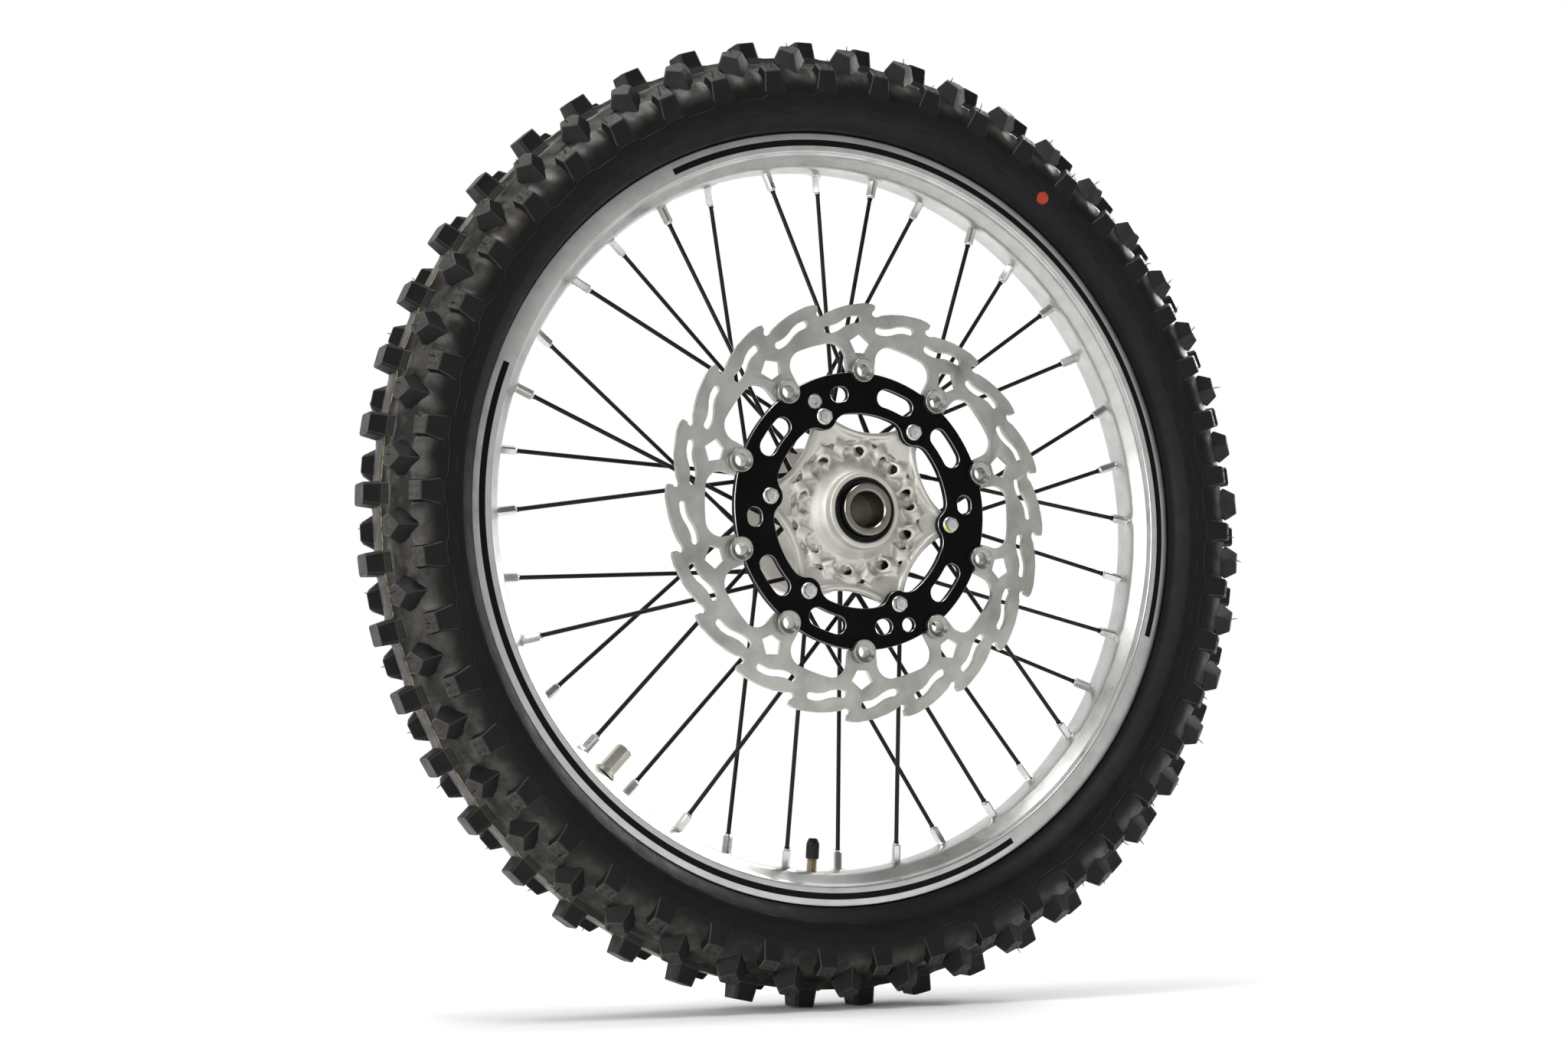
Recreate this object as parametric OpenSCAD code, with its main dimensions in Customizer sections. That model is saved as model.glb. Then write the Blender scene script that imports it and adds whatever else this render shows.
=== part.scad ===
// Spoked motorcycle front wheel with a floating brake disc, built up from its
// separate pieces. The wheel turns about Y, its rim is centred on the XZ plane,
// and the disc side faces -Y. Every piece is drawn about a local Z axis that
// points out of the disc side, and is then turned onto the wheel axis.

/* [Tyre and rim] */
// Radius over the tread knobs
tyre_r = 351; // [347:0.5:354]
// Widest half-width of the carcass
tyre_half_w = 42; // [40.5:0.5:43]
// Half-width over the shoulder knobs
shoulder_half_w = 44; // [42.5:0.5:45]
// Number of tread pitches round the tyre
tread_pitches = 46; // [40:1:52]
// Radius over the rim lips
rim_lip_r = 280.3; // [280:0.1:280.6]
// Half-width over the rim flanges
rim_half_w = 23.45; // [23.2:0.05:23.8]
// Hub-side radius of the rim well
rim_well_r = 255.6; // [255:0.1:256]

/* [Spokes] */
// Spokes of one slant on one side
spokes_per_group = 9; // [8:1:9]
// Angle of the first nipple
first_nipple_a = 1.85; // [-2:0.05:4]
// Radius of the butted middle of a spoke
spoke_r = 1.55; // [1.4:0.05:1.6]
// Radius of a spoke's thick ends
spoke_end_r = 1.9; // [1.8:0.05:2]
// Radius from the axis to a spoke head
head_place_r = 44.5; // [43.5:0.5:46]
// Sideways place of the outer spoke heads
outer_head_w = 43.5; // [43:0.1:44]
// Sideways place of the inner spoke heads
inner_head_w = 38; // [37.5:0.1:38]
// Sideways place of the nipple seats
nipple_seat_w = 3; // [2.5:0.1:4]

/* [Hub and axle] */
// Axle bore radius
axle_r = 13; // [12.5:0.1:13.1]
// Half-width over the axle spacers
spacer_end_w = 63.4; // [63:0.1:64]
// Spacer radius where the seal runs
spacer_r = 18.8; // [18.5:0.1:18.9]
// Bearing outer radius
bearing_r = 23.5; // [23.5:0.1:23.5]
// Bearing bore radius
bearing_bore_r = 15; // [15:0.1:15]
// Bearing width
bearing_w = 9; // [9:0.5:9]
// Outer face of each bearing from the middle of the wheel
bearing_face_w = 52; // [51.5:0.1:52.5]

/* [Brake disc] */
// Radius over the disc's hooks
disc_r = 150; // [149:0.5:152]
// Disc thickness
disc_t = 4; // [3.6:0.1:4]
// Back face of the disc from the middle of the wheel
disc_back_w = 48.6; // [48.5:0.1:48.8]
// Outer radius of the carrier ring
carrier_r = 99.2; // [99:0.1:99.3]
// Carrier thickness
carrier_t = 5; // [5:0.1:5.2]
// Number of bobbins
bobbins = 10; // [10:1:10]
// Radius of the bobbin circle
bobbin_circle_r = 100.3; // [100:0.1:100.4]
// Diameter of the disc bolt circle
disc_bolt_pcd = 144; // [143:0.5:145]
// Number of disc bolts
disc_bolts_n = 6; // [6:1:6]

/* [Hidden] */
$fn = 96;

// Angles round the wheel, from +X towards +Z
bobbin_a = 18.17;
disc_bolt_a = 54.35;
disc_hook_a = 13.5;
valve_a = -93.15;
rim_lock_a = -133.15;
hook_pitch = 18;

// Spoke lacing: how far round its head sits from its nipple
outer_lead_a = 43.5;
inner_lead_a = 39.5;
spoke_group_pitch = 360 / spokes_per_group;
nipple_r = 257;
nipple_bore_r = spoke_end_r + 0.05;

// Carrier faces
carrier_back_w = 48;
carrier_front_w = carrier_back_w + carrier_t;
disc_bolt_r = disc_bolt_pcd / 2;
bobbin_shank_r = 6;
bobbin_seat_r = 6.06;

// Bearings
ball_r = 2.381;
ball_pitch_r = 19.25;
ball_count = 15;
groove_r = 2.44;
bearing_mid_w = bearing_face_w - bearing_w / 2;
inner_race_r = 17.9;
outer_race_r = 20.7;
shield_t = 0.6;

// Tyre section
carcass_r = 334;
// Raised band that joins the centre knobs
band_r = carcass_r + 4.5;
band_half_w = 10.5;
tread_pitch_a = 360 / tread_pitches;

function polar(r, a, w = 0) = [r * cos(a), r * sin(a), w];
function polar_2d(r, a) = [r * cos(a), r * sin(a)];
// Points along an arc about point c, both ends included
function arc(c, r, a0, a1, steps = 8) =
    [for (i = [0:steps]) c + polar_2d(r, a0 + (a1 - a0) * i / steps)];
function mirrored(p) = [for (i = [len(p) - 1:-1:0]) [p[i][0], -p[i][1]]];
function both_sides(p) = concat(p, mirrored(p));

// Turns a piece drawn about Z onto the wheel axis
module on_axis() {
    rotate([90, 0, 0]) children();
}

// Mirrors a disc-side piece to the far side when side is -1
module to_side(side) {
    if (side > 0) children();
    else mirror([0, 0, 1]) children();
}

// Stands children on point p, pointing at point q
module aim(p, q) {
    d = q - p;
    translate(p)
        rotate([0, acos(d[2] / norm(d)), atan2(d[1], d[0])])
            children();
}

// Puts copies at equal steps round the axis
module around(n, start = 0) {
    for (i = [0:n - 1]) rotate([0, 0, start + i * 360 / n]) children();
}

// Revolves a closed outline of [radius, height] points
module ring(points) {
    rotate_extrude($fn = 180) polygon(points);
}

module tube(r_out, r_in, w0, w1) {
    translate([0, 0, w0]) difference() {
        cylinder(r = r_out, h = w1 - w0);
        translate([0, 0, -1]) cylinder(r = r_in, h = w1 - w0 + 2);
    }
}

// ---- Tyre, tube and rim ----

tyre_outside = [[267, 14.2], [266.9, 19.6], [268.5, 20.1], [277, 20.1], [280.6, 20.8],
                [281.2, 24], [283.5, 31], [290, 38.5], [298, tyre_half_w - 0.4],
                [306, tyre_half_w], [314, 40], [321, 35], [327, 27], [331.5, 18],
                [carcass_r - 0.6, band_half_w + 3], [band_r, band_half_w], [band_r, 0]];
tyre_inside = [[carcass_r - 6, 0], [327.6, 7], [325.5, 16], [321, 25], [315, 32],
               [306, 37.5], [297, 36.5], [289, 31], [282, 22], [275, 15], [270, 13]];

module knobs(profiles, half_a, start) {
    root_r = 290;
    out_r = 360;
    intersection() {
        for (p = profiles) ring(p);
        linear_extrude(height = 100, center = true)
            polygon([for (i = [0:tread_pitches - 1])
                     for (k = [[root_r, -1.15], [out_r, -1], [out_r, 1], [root_r, 1.15]])
                     polar_2d(k[0], start + i * tread_pitch_a + k[1] * half_a)]);
    }
}

centre_knob = [[331, -13.2], [335, -12.7], [338.4, -10.9], [tyre_r, -9.5],
               [tyre_r, 9.5], [338.4, 10.9], [335, 12.7], [331, 13.2]];
shoulder_knob = [[303, 41.6], [303, 40], [316, 34], [322, 33.5],
                 [tyre_r - 23.2, 37], [tyre_r - 29.7, shoulder_half_w],
                 [313, shoulder_half_w - 0.3]];
side_knob = [[328, 24], [tyre_r - 8, 26.5], [tyre_r - 11.2, 31], [tyre_r - 16, 36.3],
             [317, 38], [317, 33]];

module tyre() {
    color([0.09, 0.09, 0.09]) on_axis() union() {
        ring(concat(tyre_outside, [for (i = [len(tyre_outside) - 2:-1:0])
                                   [tyre_outside[i][0], -tyre_outside[i][1]]],
                    [for (i = [len(tyre_inside) - 1:-1:1])
                     [tyre_inside[i][0], -tyre_inside[i][1]]],
                    tyre_inside));
        knobs([centre_knob, shoulder_knob, mirrored(shoulder_knob)], 1.2, 0);
        knobs([side_knob, mirrored(side_knob)], 1.1, tread_pitch_a / 2);
    }
}

module inner_tube() {
    section_r = 24.3;
    wall = 2.5;
    color([0.13, 0.13, 0.13]) on_axis()
        rotate_extrude($fn = 180) translate([298, 0]) difference() {
            circle(r = section_r);
            circle(r = section_r - wall);
        }
}

module rim_strip() {
    color([0.2, 0.2, 0.2]) on_axis() difference() {
        tube(264.2, 263, -8, 8);
        aim(polar(250, valve_a), polar(280, valve_a)) cylinder(r = 4.3, h = 30);
        aim(polar(250, rim_lock_a), polar(280, rim_lock_a)) cylinder(r = 4.6, h = 30);
    }
}

rim_half = [[rim_well_r, 6.5], [257, 10.5], [261.5, 15.5], [264.6, 19],
            [265.2, 22.4], [266.2, rim_half_w], [rim_lip_r - 1, rim_half_w],
            [rim_lip_r, 22.5], [rim_lip_r - 0.3, 21.2], [277.5, 20.3],
            [268.6, 20.3], [266.7, 19.7], [266.3, 14], [264.8, 12.5], [260.5, 9.8],
            [259, 7]];

// One line from a spoke head to its nipple seat on the rim
function head_point(side, outer, j) =
    polar(head_place_r,
          nipple_angle(side, outer, j) + (outer ? outer_lead_a : -inner_lead_a),
          side * (outer ? outer_head_w : inner_head_w));
function seat_point(side, outer, j) =
    polar(nipple_r, nipple_angle(side, outer, j), side * nipple_seat_w);
function nipple_angle(side, outer, j) =
    first_nipple_a + j * spoke_group_pitch
    + (side > 0 ? (outer ? 0 : 20) : (outer ? 30 : 10));

// Runs its children at the nipple seat, pointing outwards along the spoke
module at_nipples(side) {
    for (outer = [true, false], j = [0:spokes_per_group - 1]) {
        h = head_point(side, outer, j);
        s = seat_point(side, outer, j);
        aim(s, s + (s - h)) children();
    }
}

// Runs its children at the spoke heads, pointing at the nipple
module at_heads(side) {
    for (outer = [true, false], j = [0:spokes_per_group - 1])
        aim(head_point(side, outer, j), seat_point(side, outer, j)) children();
}

module nipple_hole() {
    translate([0, 0, -12]) cylinder(r = 3.4, h = 16);
    translate([0, 0, 1]) cylinder(r = 5, h = 9);
}

module rim() {
    color([0.78, 0.79, 0.8]) on_axis() difference() {
        ring(both_sides(rim_half));
        at_nipples(1) nipple_hole();
        at_nipples(-1) nipple_hole();
        aim(polar(245, valve_a), polar(280, valve_a)) cylinder(r = 4.2, h = 30);
        aim(polar(245, rim_lock_a), polar(280, rim_lock_a)) cylinder(r = 4.5, h = 30);
    }
}

// ---- Spokes and nipples ----

module spoke(length) {
    butt_l = 30;
    thread_l = 17;
    cylinder(r = 3.3, h = 2.4);
    cylinder(r = spoke_end_r, h = butt_l);
    translate([0, 0, butt_l])
        cylinder(r1 = spoke_end_r, r2 = spoke_r, h = 6);
    translate([0, 0, butt_l + 6])
        cylinder(r = spoke_r, h = length - butt_l - 6 - thread_l);
    translate([0, 0, length - thread_l]) cylinder(r = spoke_end_r, h = thread_l);
}

module spoke_group(side, outer) {
    color([0.1, 0.1, 0.1]) on_axis() for (j = [0:spokes_per_group - 1]) {
        h = head_point(side, outer, j);
        s = seat_point(side, outer, j);
        aim(h, s) spoke(norm(s - h));
    }
}

module spokes_disc_side_outer() spoke_group(1, true);
module spokes_disc_side_inner() spoke_group(1, false);
module spokes_far_side_outer() spoke_group(-1, true);
module spokes_far_side_inner() spoke_group(-1, false);

module nipple() {
    difference() {
        union() {
            translate([0, 0, -15]) cylinder(r = 3.15, h = 16.2);
            translate([0, 0, 1]) cylinder(r = 4.6, h = 3);
        }
        translate([0, 0, -16]) cylinder(r = nipple_bore_r, h = 22);
    }
}

module nipples_disc_side() {
    color([0.82, 0.82, 0.82]) on_axis() at_nipples(1) nipple();
}

module nipples_far_side() {
    color([0.82, 0.82, 0.82]) on_axis() at_nipples(-1) nipple();
}

// ---- Hub ----

hub_half_outside = [[32, 0], [31.5, 20], [33, 30], [38, 33.5], [49, 34.5], [51, 37],
                    [51, 41.5], [49.5, 42.8], [42, 41.4], [37, 42.8], [31.5, 46.5],
                    [28.4, 51], [27.4, 57.2], [26.6, 58]];
hub_half_inside = [[bearing_r, 58], [bearing_r, bearing_face_w - bearing_w],
                   [21.5, bearing_face_w - bearing_w], [21.5, 34], [27, 30], [27, 0]];

module disc_flange() {
    back_w = 43.4;
    scallop_place_r = 121.5;
    scallop_r = 64;
    lobe_r = 9;
    translate([0, 0, back_w]) linear_extrude(height = carrier_back_w - back_w) {
        difference() {
            circle(r = disc_bolt_r, $fn = 180);
            circle(r = 46, $fn = 120);
            for (i = [0:disc_bolts_n - 1]) rotate(disc_bolt_a + 30 + i * 60)
                translate([scallop_place_r, 0]) circle(r = scallop_r, $fn = 120);
        }
        for (i = [0:disc_bolts_n - 1])
            translate(polar_2d(disc_bolt_r, disc_bolt_a + i * 60))
                circle(r = lobe_r, $fn = 64);
    }
    around(disc_bolts_n, disc_bolt_a)
        translate([disc_bolt_r, 0, 36]) cylinder(r = 7, h = 8, $fn = 48);
}

module hub() {
    boss_r = 4.9;
    color([0.72, 0.71, 0.69]) on_axis() difference() {
        union() {
            ring(concat(mirrored(hub_half_outside), hub_half_outside,
                        hub_half_inside, mirrored(hub_half_inside)));
            disc_flange();
            for (side = [1, -1]) at_heads(side) cylinder(r = boss_r, h = 13, $fn = 48);
        }
        for (side = [1, -1]) at_heads(side) {
            translate([0, 0, -4]) cylinder(r = 3.5, h = 6.4, $fn = 32);
            cylinder(r = spoke_end_r + 0.1, h = 30, $fn = 32);
        }
        around(disc_bolts_n, disc_bolt_a)
            translate([disc_bolt_r, 0, 30]) cylinder(r = 3, h = 30, $fn = 32);
    }
}

// ---- Brake disc ----

// Outline of one hook, as [angle past the tip, radius]
hook_outline = [[0, 149.2], [1.2, 150], [3.5, 149.9], [5.6, 149], [9.1, 147.5],
                [12.6, 145.3], [15.6, 143], [16.6, 141.5], [17.5, 140.8],
                [18.4, 141.3], [18.9, 142.6], [18.7, 144.3], [18.1, 145.7]];
slot_centre = [[5.4, 137.9], [7.6, 137.3], [9.6, 135.6], [11.4, 133.2],
               [13.2, 131.6], [14.8, 131], [16.3, 131.2]];
slot_half_w = 2.7;
scallop_half_a = 11.8;
scallop_top_r = 121.4;
carrier_slot_half_w = 6.6;

function slot_side(s) =
    [for (p = slot_centre) polar_2d(p[1] + s * slot_half_w, disc_hook_a + p[0])];

module disc_slot() {
    first = slot_centre[0];
    last = slot_centre[len(slot_centre) - 1];
    outer_side = slot_side(1);
    inner_side = slot_side(-1);
    polygon(concat(
        outer_side,
        arc(polar_2d(last[1], disc_hook_a + last[0]), slot_half_w,
            disc_hook_a + last[0] + 22, disc_hook_a + last[0] + 158, 6),
        [for (i = [len(slot_centre) - 1:-1:0]) inner_side[i]],
        arc(polar_2d(first[1], disc_hook_a + first[0]), slot_half_w,
            disc_hook_a + first[0] + 202, disc_hook_a + first[0] + 338, 6)));
}

// Wide cut-out between two arms, with rounded outer corners
module disc_scallop() {
    corner_r = 11.5;
    corner_a = scallop_half_a - 5.9;
    corner = polar_2d(scallop_top_r - corner_r, corner_a);
    half = concat([polar_2d(90, scallop_half_a)],
                  arc(corner, corner_r, scallop_half_a + 84, corner_a + 6, 8),
                  arc([0, 0], scallop_top_r, corner_a - 1, 1, 3));
    rotate(bobbin_a + 18)
        polygon(concat(half, [for (i = [len(half) - 1:-1:0]) [half[i][0], -half[i][1]]]));
}

module disc_rotor() {
    // Corners of a lightening hole, as [angle from its arm, radius]
    window = [[-4, 121.2], [0, 127.6], [4, 122], [2.1, 113.4], [-2, 113.4]];
    color([0.6, 0.6, 0.59]) on_axis() translate([0, 0, disc_back_w])
        linear_extrude(height = disc_t) difference() {
            polygon([for (i = [0:19]) for (p = hook_outline)
                     polar_2d(p[1] * disc_r / 150, disc_hook_a + i * hook_pitch + p[0])]);
            circle(r = carrier_r + 0.8, $fn = 180);
            for (i = [0:bobbins - 1]) rotate(i * 36) {
                disc_scallop();
                translate(polar_2d(bobbin_circle_r, bobbin_a))
                    circle(r = bobbin_seat_r, $fn = 48);
                polygon([for (p = window) polar_2d(p[1], bobbin_a + p[0])]);
            }
            for (i = [0:19]) rotate(i * hook_pitch) disc_slot();
        }
}

// Curved slot through the carrier, centred at angle a
module carrier_slot(a, half_a, half_w = carrier_slot_half_w, r = 84) {
    rotate(a) polygon(concat(
        arc([0, 0], r + half_w, -half_a, half_a),
        arc(polar_2d(r, half_a), half_w, half_a + 15, half_a + 165, 10),
        arc([0, 0], r - half_w, half_a, -half_a),
        arc(polar_2d(r, -half_a), half_w, 195 - half_a, 345 - half_a, 10)));
}

// Inner edge of the carrier: an ear round every disc bolt, blended into the ring
function carrier_inside() =
    let (ring_r = 69.5, ear_r = 9.7, blend_r = 12,
         blend_place_r = ring_r - blend_r,
         reach = ear_r + blend_r,
         blend_a = acos((blend_place_r ^ 2 + disc_bolt_r ^ 2 - reach ^ 2)
                        / (2 * blend_place_r * disc_bolt_r)),
         ear = [disc_bolt_r, 0],
         blend = polar_2d(blend_place_r, blend_a),
         touch_a = atan2(ear[1] - blend[1], ear[0] - blend[0]),
         half = concat(
             [for (i = [0:5]) polar_2d(ring_r, 30 - i * (30 - blend_a) / 6)],
             arc(blend, blend_r, blend_a, touch_a, 8),
             [for (i = [1:7]) ear + polar_2d(ear_r, touch_a + 180
                                             + i * (-touch_a) / 8)]))
    concat(half, [ear - [ear_r, 0]],
           [for (i = [len(half) - 1:-1:1]) [half[i][0], -half[i][1]]]);

function turned(p, a) =
    [p[0] * cos(a) - p[1] * sin(a), p[0] * sin(a) + p[1] * cos(a)];

module disc_carrier() {
    magnet_a = 116;
    color([0.07, 0.07, 0.08]) on_axis() translate([0, 0, carrier_back_w])
        linear_extrude(height = carrier_t) difference() {
            circle(r = carrier_r, $fn = 180);
            polygon([for (i = [disc_bolts_n - 1:-1:0]) for (p = carrier_inside())
                     turned(p, disc_bolt_a + i * 60)]);
            for (half = [0, 180]) {
                carrier_slot(71 + half, 5.6);
                carrier_slot(35.5 + half, 6.2);
                carrier_slot(-36 + half, 6.2);
                carrier_slot(102 + half, 0.9, 5.6);
                carrier_slot(5.5 + half, 0.9, 5.6);
            }
            translate(polar_2d(88.5, -65)) circle(r = 5, $fn = 48);
            translate(polar_2d(84.5, magnet_a)) circle(r = 5.1, $fn = 48);
            for (i = [0:disc_bolts_n - 1])
                translate(polar_2d(disc_bolt_r, disc_bolt_a + i * 60))
                    circle(r = 3.2, $fn = 48);
            for (i = [0:bobbins - 1])
                translate(polar_2d(bobbin_circle_r, bobbin_a + i * 36))
                    circle(r = bobbin_seat_r, $fn = 48);
        }
}

module disc_bobbins() {
    color([0.75, 0.75, 0.74]) on_axis() around(bobbins, bobbin_a)
        translate([bobbin_circle_r, 0, 0])
            rotate_extrude($fn = 48) polygon([[4.6, 45.8], [bobbin_shank_r, 45.8],
                [bobbin_shank_r, carrier_front_w], [8.75, carrier_front_w],
                [8.75, 57], [7.9, 57.8], [6.4, 57.8], [4.6, 56.2]]);
}

module bobbin_washers() {
    color([0.6, 0.6, 0.6]) on_axis() around(bobbins, bobbin_a)
        translate([bobbin_circle_r, 0, 0]) tube(8.4, bobbin_shank_r + 0.05, 47.2, 48, $fn = 48);
}

module bobbin_clips() {
    gap_w = 3;
    color([0.3, 0.3, 0.3]) on_axis() around(bobbins, bobbin_a)
        translate([bobbin_circle_r, 0, 46.2]) difference() {
            cylinder(r = 7.6, h = 1, $fn = 48);
            translate([0, 0, -1]) cylinder(r = bobbin_shank_r + 0.05, h = 3, $fn = 48);
            translate([-10, -gap_w / 2, -1]) cube([10, gap_w, 3]);
        }
}

module disc_bolts() {
    color([0.75, 0.75, 0.74]) on_axis() around(disc_bolts_n, disc_bolt_a)
        translate([disc_bolt_r, 0, 0]) {
            translate([0, 0, 37]) cylinder(r = 2.95, h = 17, $fn = 32);
            translate([0, 0, carrier_front_w]) cylinder(r = 6, h = 1, $fn = 48);
            translate([0, 0, carrier_front_w + 1]) cylinder(r = 4.9, h = 3.5, $fn = 6);
        }
}

module sensor_magnet() {
    plug_h = 5.2;
    color([0.7, 0.7, 0.7]) on_axis() translate(polar(84.5, 116, carrier_back_w))
        difference() {
            cylinder(r = 5.05, h = plug_h, $fn = 48);
            translate([0, 0, plug_h - 2.5]) cylinder(r = 2.9, h = 4, $fn = 6);
        }
}

// ---- Bearings, seals and spacers ----

module race_groove() {
    rotate_extrude($fn = 96) translate([ball_pitch_r, bearing_mid_w])
        circle(r = groove_r, $fn = 48);
}

module bearing_outer(side) {
    color([0.8, 0.8, 0.82]) on_axis() to_side(side) difference() {
        tube(bearing_r, outer_race_r, bearing_face_w - bearing_w, bearing_face_w);
        race_groove();
    }
}

module bearing_inner(side) {
    color([0.8, 0.8, 0.82]) on_axis() to_side(side) difference() {
        tube(inner_race_r, bearing_bore_r, bearing_face_w - bearing_w, bearing_face_w);
        race_groove();
    }
}

module bearing_balls(side) {
    color([0.9, 0.9, 0.9]) on_axis() to_side(side) around(ball_count)
        translate([ball_pitch_r, 0, bearing_mid_w]) sphere(r = ball_r, $fn = 32);
}

module bearing_cage(side) {
    color([0.35, 0.3, 0.2]) on_axis() to_side(side) difference() {
        tube(19.75, 18.75, bearing_mid_w - 3, bearing_mid_w + 3);
        around(ball_count) translate([ball_pitch_r, 0, bearing_mid_w])
            rotate([0, 90, 0]) cylinder(r = ball_r + 0.06, h = 5, center = true, $fn = 32);
    }
}

module bearing_shields(side) {
    color([0.15, 0.15, 0.15]) on_axis() to_side(side)
        for (w = [bearing_face_w - 1, bearing_face_w - bearing_w + 1 - shield_t])
            tube(outer_race_r, inner_race_r + 0.1, w, w + shield_t);
}

module bearing_outer_disc_side() bearing_outer(1);
module bearing_inner_disc_side() bearing_inner(1);
module bearing_balls_disc_side() bearing_balls(1);
module bearing_cage_disc_side() bearing_cage(1);
module bearing_shields_disc_side() bearing_shields(1);
module bearing_outer_far_side() bearing_outer(-1);
module bearing_inner_far_side() bearing_inner(-1);
module bearing_balls_far_side() bearing_balls(-1);
module bearing_cage_far_side() bearing_cage(-1);
module bearing_shields_far_side() bearing_shields(-1);

module seal(side) {
    lip_r = spacer_r + 0.06;
    color([0.06, 0.06, 0.06]) on_axis() to_side(side)
        ring([[bearing_r, 52.6], [bearing_r, 58], [22, 58], [21.2, 57], [lip_r + 0.5, 57],
              [lip_r, 56.2], [lip_r, 54.6], [lip_r + 1, 53.6], [22.3, 53.6], [22.3, 52.6]]);
}

module seal_disc_side() seal(1);
module seal_far_side() seal(-1);

module spacer(side) {
    sleeve_r = bearing_bore_r - 0.02;
    color([0.8, 0.79, 0.76]) on_axis() to_side(side)
        ring([[axle_r, bearing_face_w - bearing_w], [sleeve_r, bearing_face_w - bearing_w],
              [sleeve_r, bearing_face_w], [inner_race_r, bearing_face_w],
              [spacer_r, bearing_face_w + 1], [spacer_r, spacer_end_w - 0.8],
              [spacer_r - 0.8, spacer_end_w], [axle_r + 1.2, spacer_end_w],
              [axle_r, spacer_end_w - 1.2]]);
}

module spacer_disc_side() spacer(1);
module spacer_far_side() spacer(-1);

module distance_tube() {
    end_w = bearing_face_w - bearing_w;
    color([0.55, 0.5, 0.45]) on_axis() tube(17.6, axle_r, -end_w, end_w);
}

// ---- Valve ----

valve_nut_r = 246.8;

// Stands children on the axis side of the rim at angle a, pointing inwards,
// with z = 0 at the wheel axis side radius r
module inward(a, r) {
    aim(polar(r, a), [0, 0, 0]) children();
}

module valve_stem() {
    color([0.75, 0.62, 0.35]) on_axis() inward(valve_a, 273.65) difference() {
        union() {
            cylinder(r = 3.9, h = 33.55, $fn = 48);
            cylinder(r = 8, h = 1.2, $fn = 48);
        }
        translate([0, 0, -1]) cylinder(r = 1.4, h = 20, $fn = 32);
        translate([0, 0, 10]) cylinder(r = 2.3, h = 30, $fn = 32);
    }
}

module valve_core() {
    color([0.7, 0.55, 0.3]) on_axis() inward(valve_a, 262) {
        cylinder(r = 2.25, h = 20, $fn = 32);
        cylinder(r = 0.7, h = 21.6, $fn = 24);
    }
}

module valve_cap() {
    color([0.08, 0.08, 0.08]) on_axis() inward(valve_a, valve_nut_r) difference() {
        union() {
            cylinder(r = 5, h = 11, $fn = 48);
            translate([0, 0, 11]) cylinder(r1 = 5, r2 = 3, h = 3.6, $fn = 48);
        }
        translate([0, 0, -1]) cylinder(r = 3.95, h = 10.2, $fn = 48);
    }
}

// ---- Rim lock ----

module rim_lock_shoe() {
    pad_r = 272;
    color([0.12, 0.12, 0.12]) on_axis() rotate([0, 0, rim_lock_a])
        difference() {
            intersection() {
                ring([[264.6, -9.5], [pad_r, -12], [pad_r, 12], [264.6, 9.5]]);
                linear_extrude(height = 60, center = true)
                    polygon([[0, 0], polar_2d(320, -9), polar_2d(320, 9)]);
            }
            translate([pad_r + 1, 0, 0]) rotate([0, -90, 0]) cylinder(r = 4.05, h = 20);
        }
}

module rim_lock_stud() {
    color([0.6, 0.6, 0.58]) on_axis() inward(rim_lock_a, 272)
        cylinder(r = 4, h = 36, $fn = 48);
}

module rim_lock_washer() {
    color([0.5, 0.5, 0.5]) on_axis() inward(rim_lock_a, 255.3)
        difference() {
            cylinder(r = 8.5, h = 1.6, $fn = 48);
            translate([0, 0, -1]) cylinder(r = 4.05, h = 4, $fn = 48);
        }
}

module rim_lock_nut() {
    color([0.66, 0.65, 0.6]) on_axis() inward(rim_lock_a, 253.68) difference() {
        union() {
            cylinder(r = 7.5, h = 1.8, $fn = 48);
            cylinder(r = 6.2, h = 22, $fn = 6);
        }
        translate([0, 0, -1]) cylinder(r = 4.05, h = 24, $fn = 48);
    }
}

tyre();
inner_tube();
rim_strip();
rim();
spokes_disc_side_outer();
spokes_disc_side_inner();
spokes_far_side_outer();
spokes_far_side_inner();
nipples_disc_side();
nipples_far_side();
hub();
disc_carrier();
disc_rotor();
disc_bobbins();
bobbin_washers();
bobbin_clips();
disc_bolts();
sensor_magnet();
bearing_outer_disc_side();
bearing_inner_disc_side();
bearing_balls_disc_side();
bearing_cage_disc_side();
bearing_shields_disc_side();
bearing_outer_far_side();
bearing_inner_far_side();
bearing_balls_far_side();
bearing_cage_far_side();
bearing_shields_far_side();
seal_disc_side();
seal_far_side();
spacer_disc_side();
spacer_far_side();
distance_tube();
valve_stem();
valve_core();
valve_cap();
rim_lock_shoe();
rim_lock_stud();
rim_lock_washer();
rim_lock_nut();
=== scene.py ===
"""A spoked motorcycle front wheel with a floating brake disc, standing on a pale floor.

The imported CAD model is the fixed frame. The tyre, rim, hub, brake disc and small
fittings are finished here as their own meshes; the rest keeps its CAD shape.
Places are given as (radius, angle, side): millimetres from the axis, degrees from
+X towards +Z, and millimetres from the rim's middle plane towards the disc side.
"""

import math
import random

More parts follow.
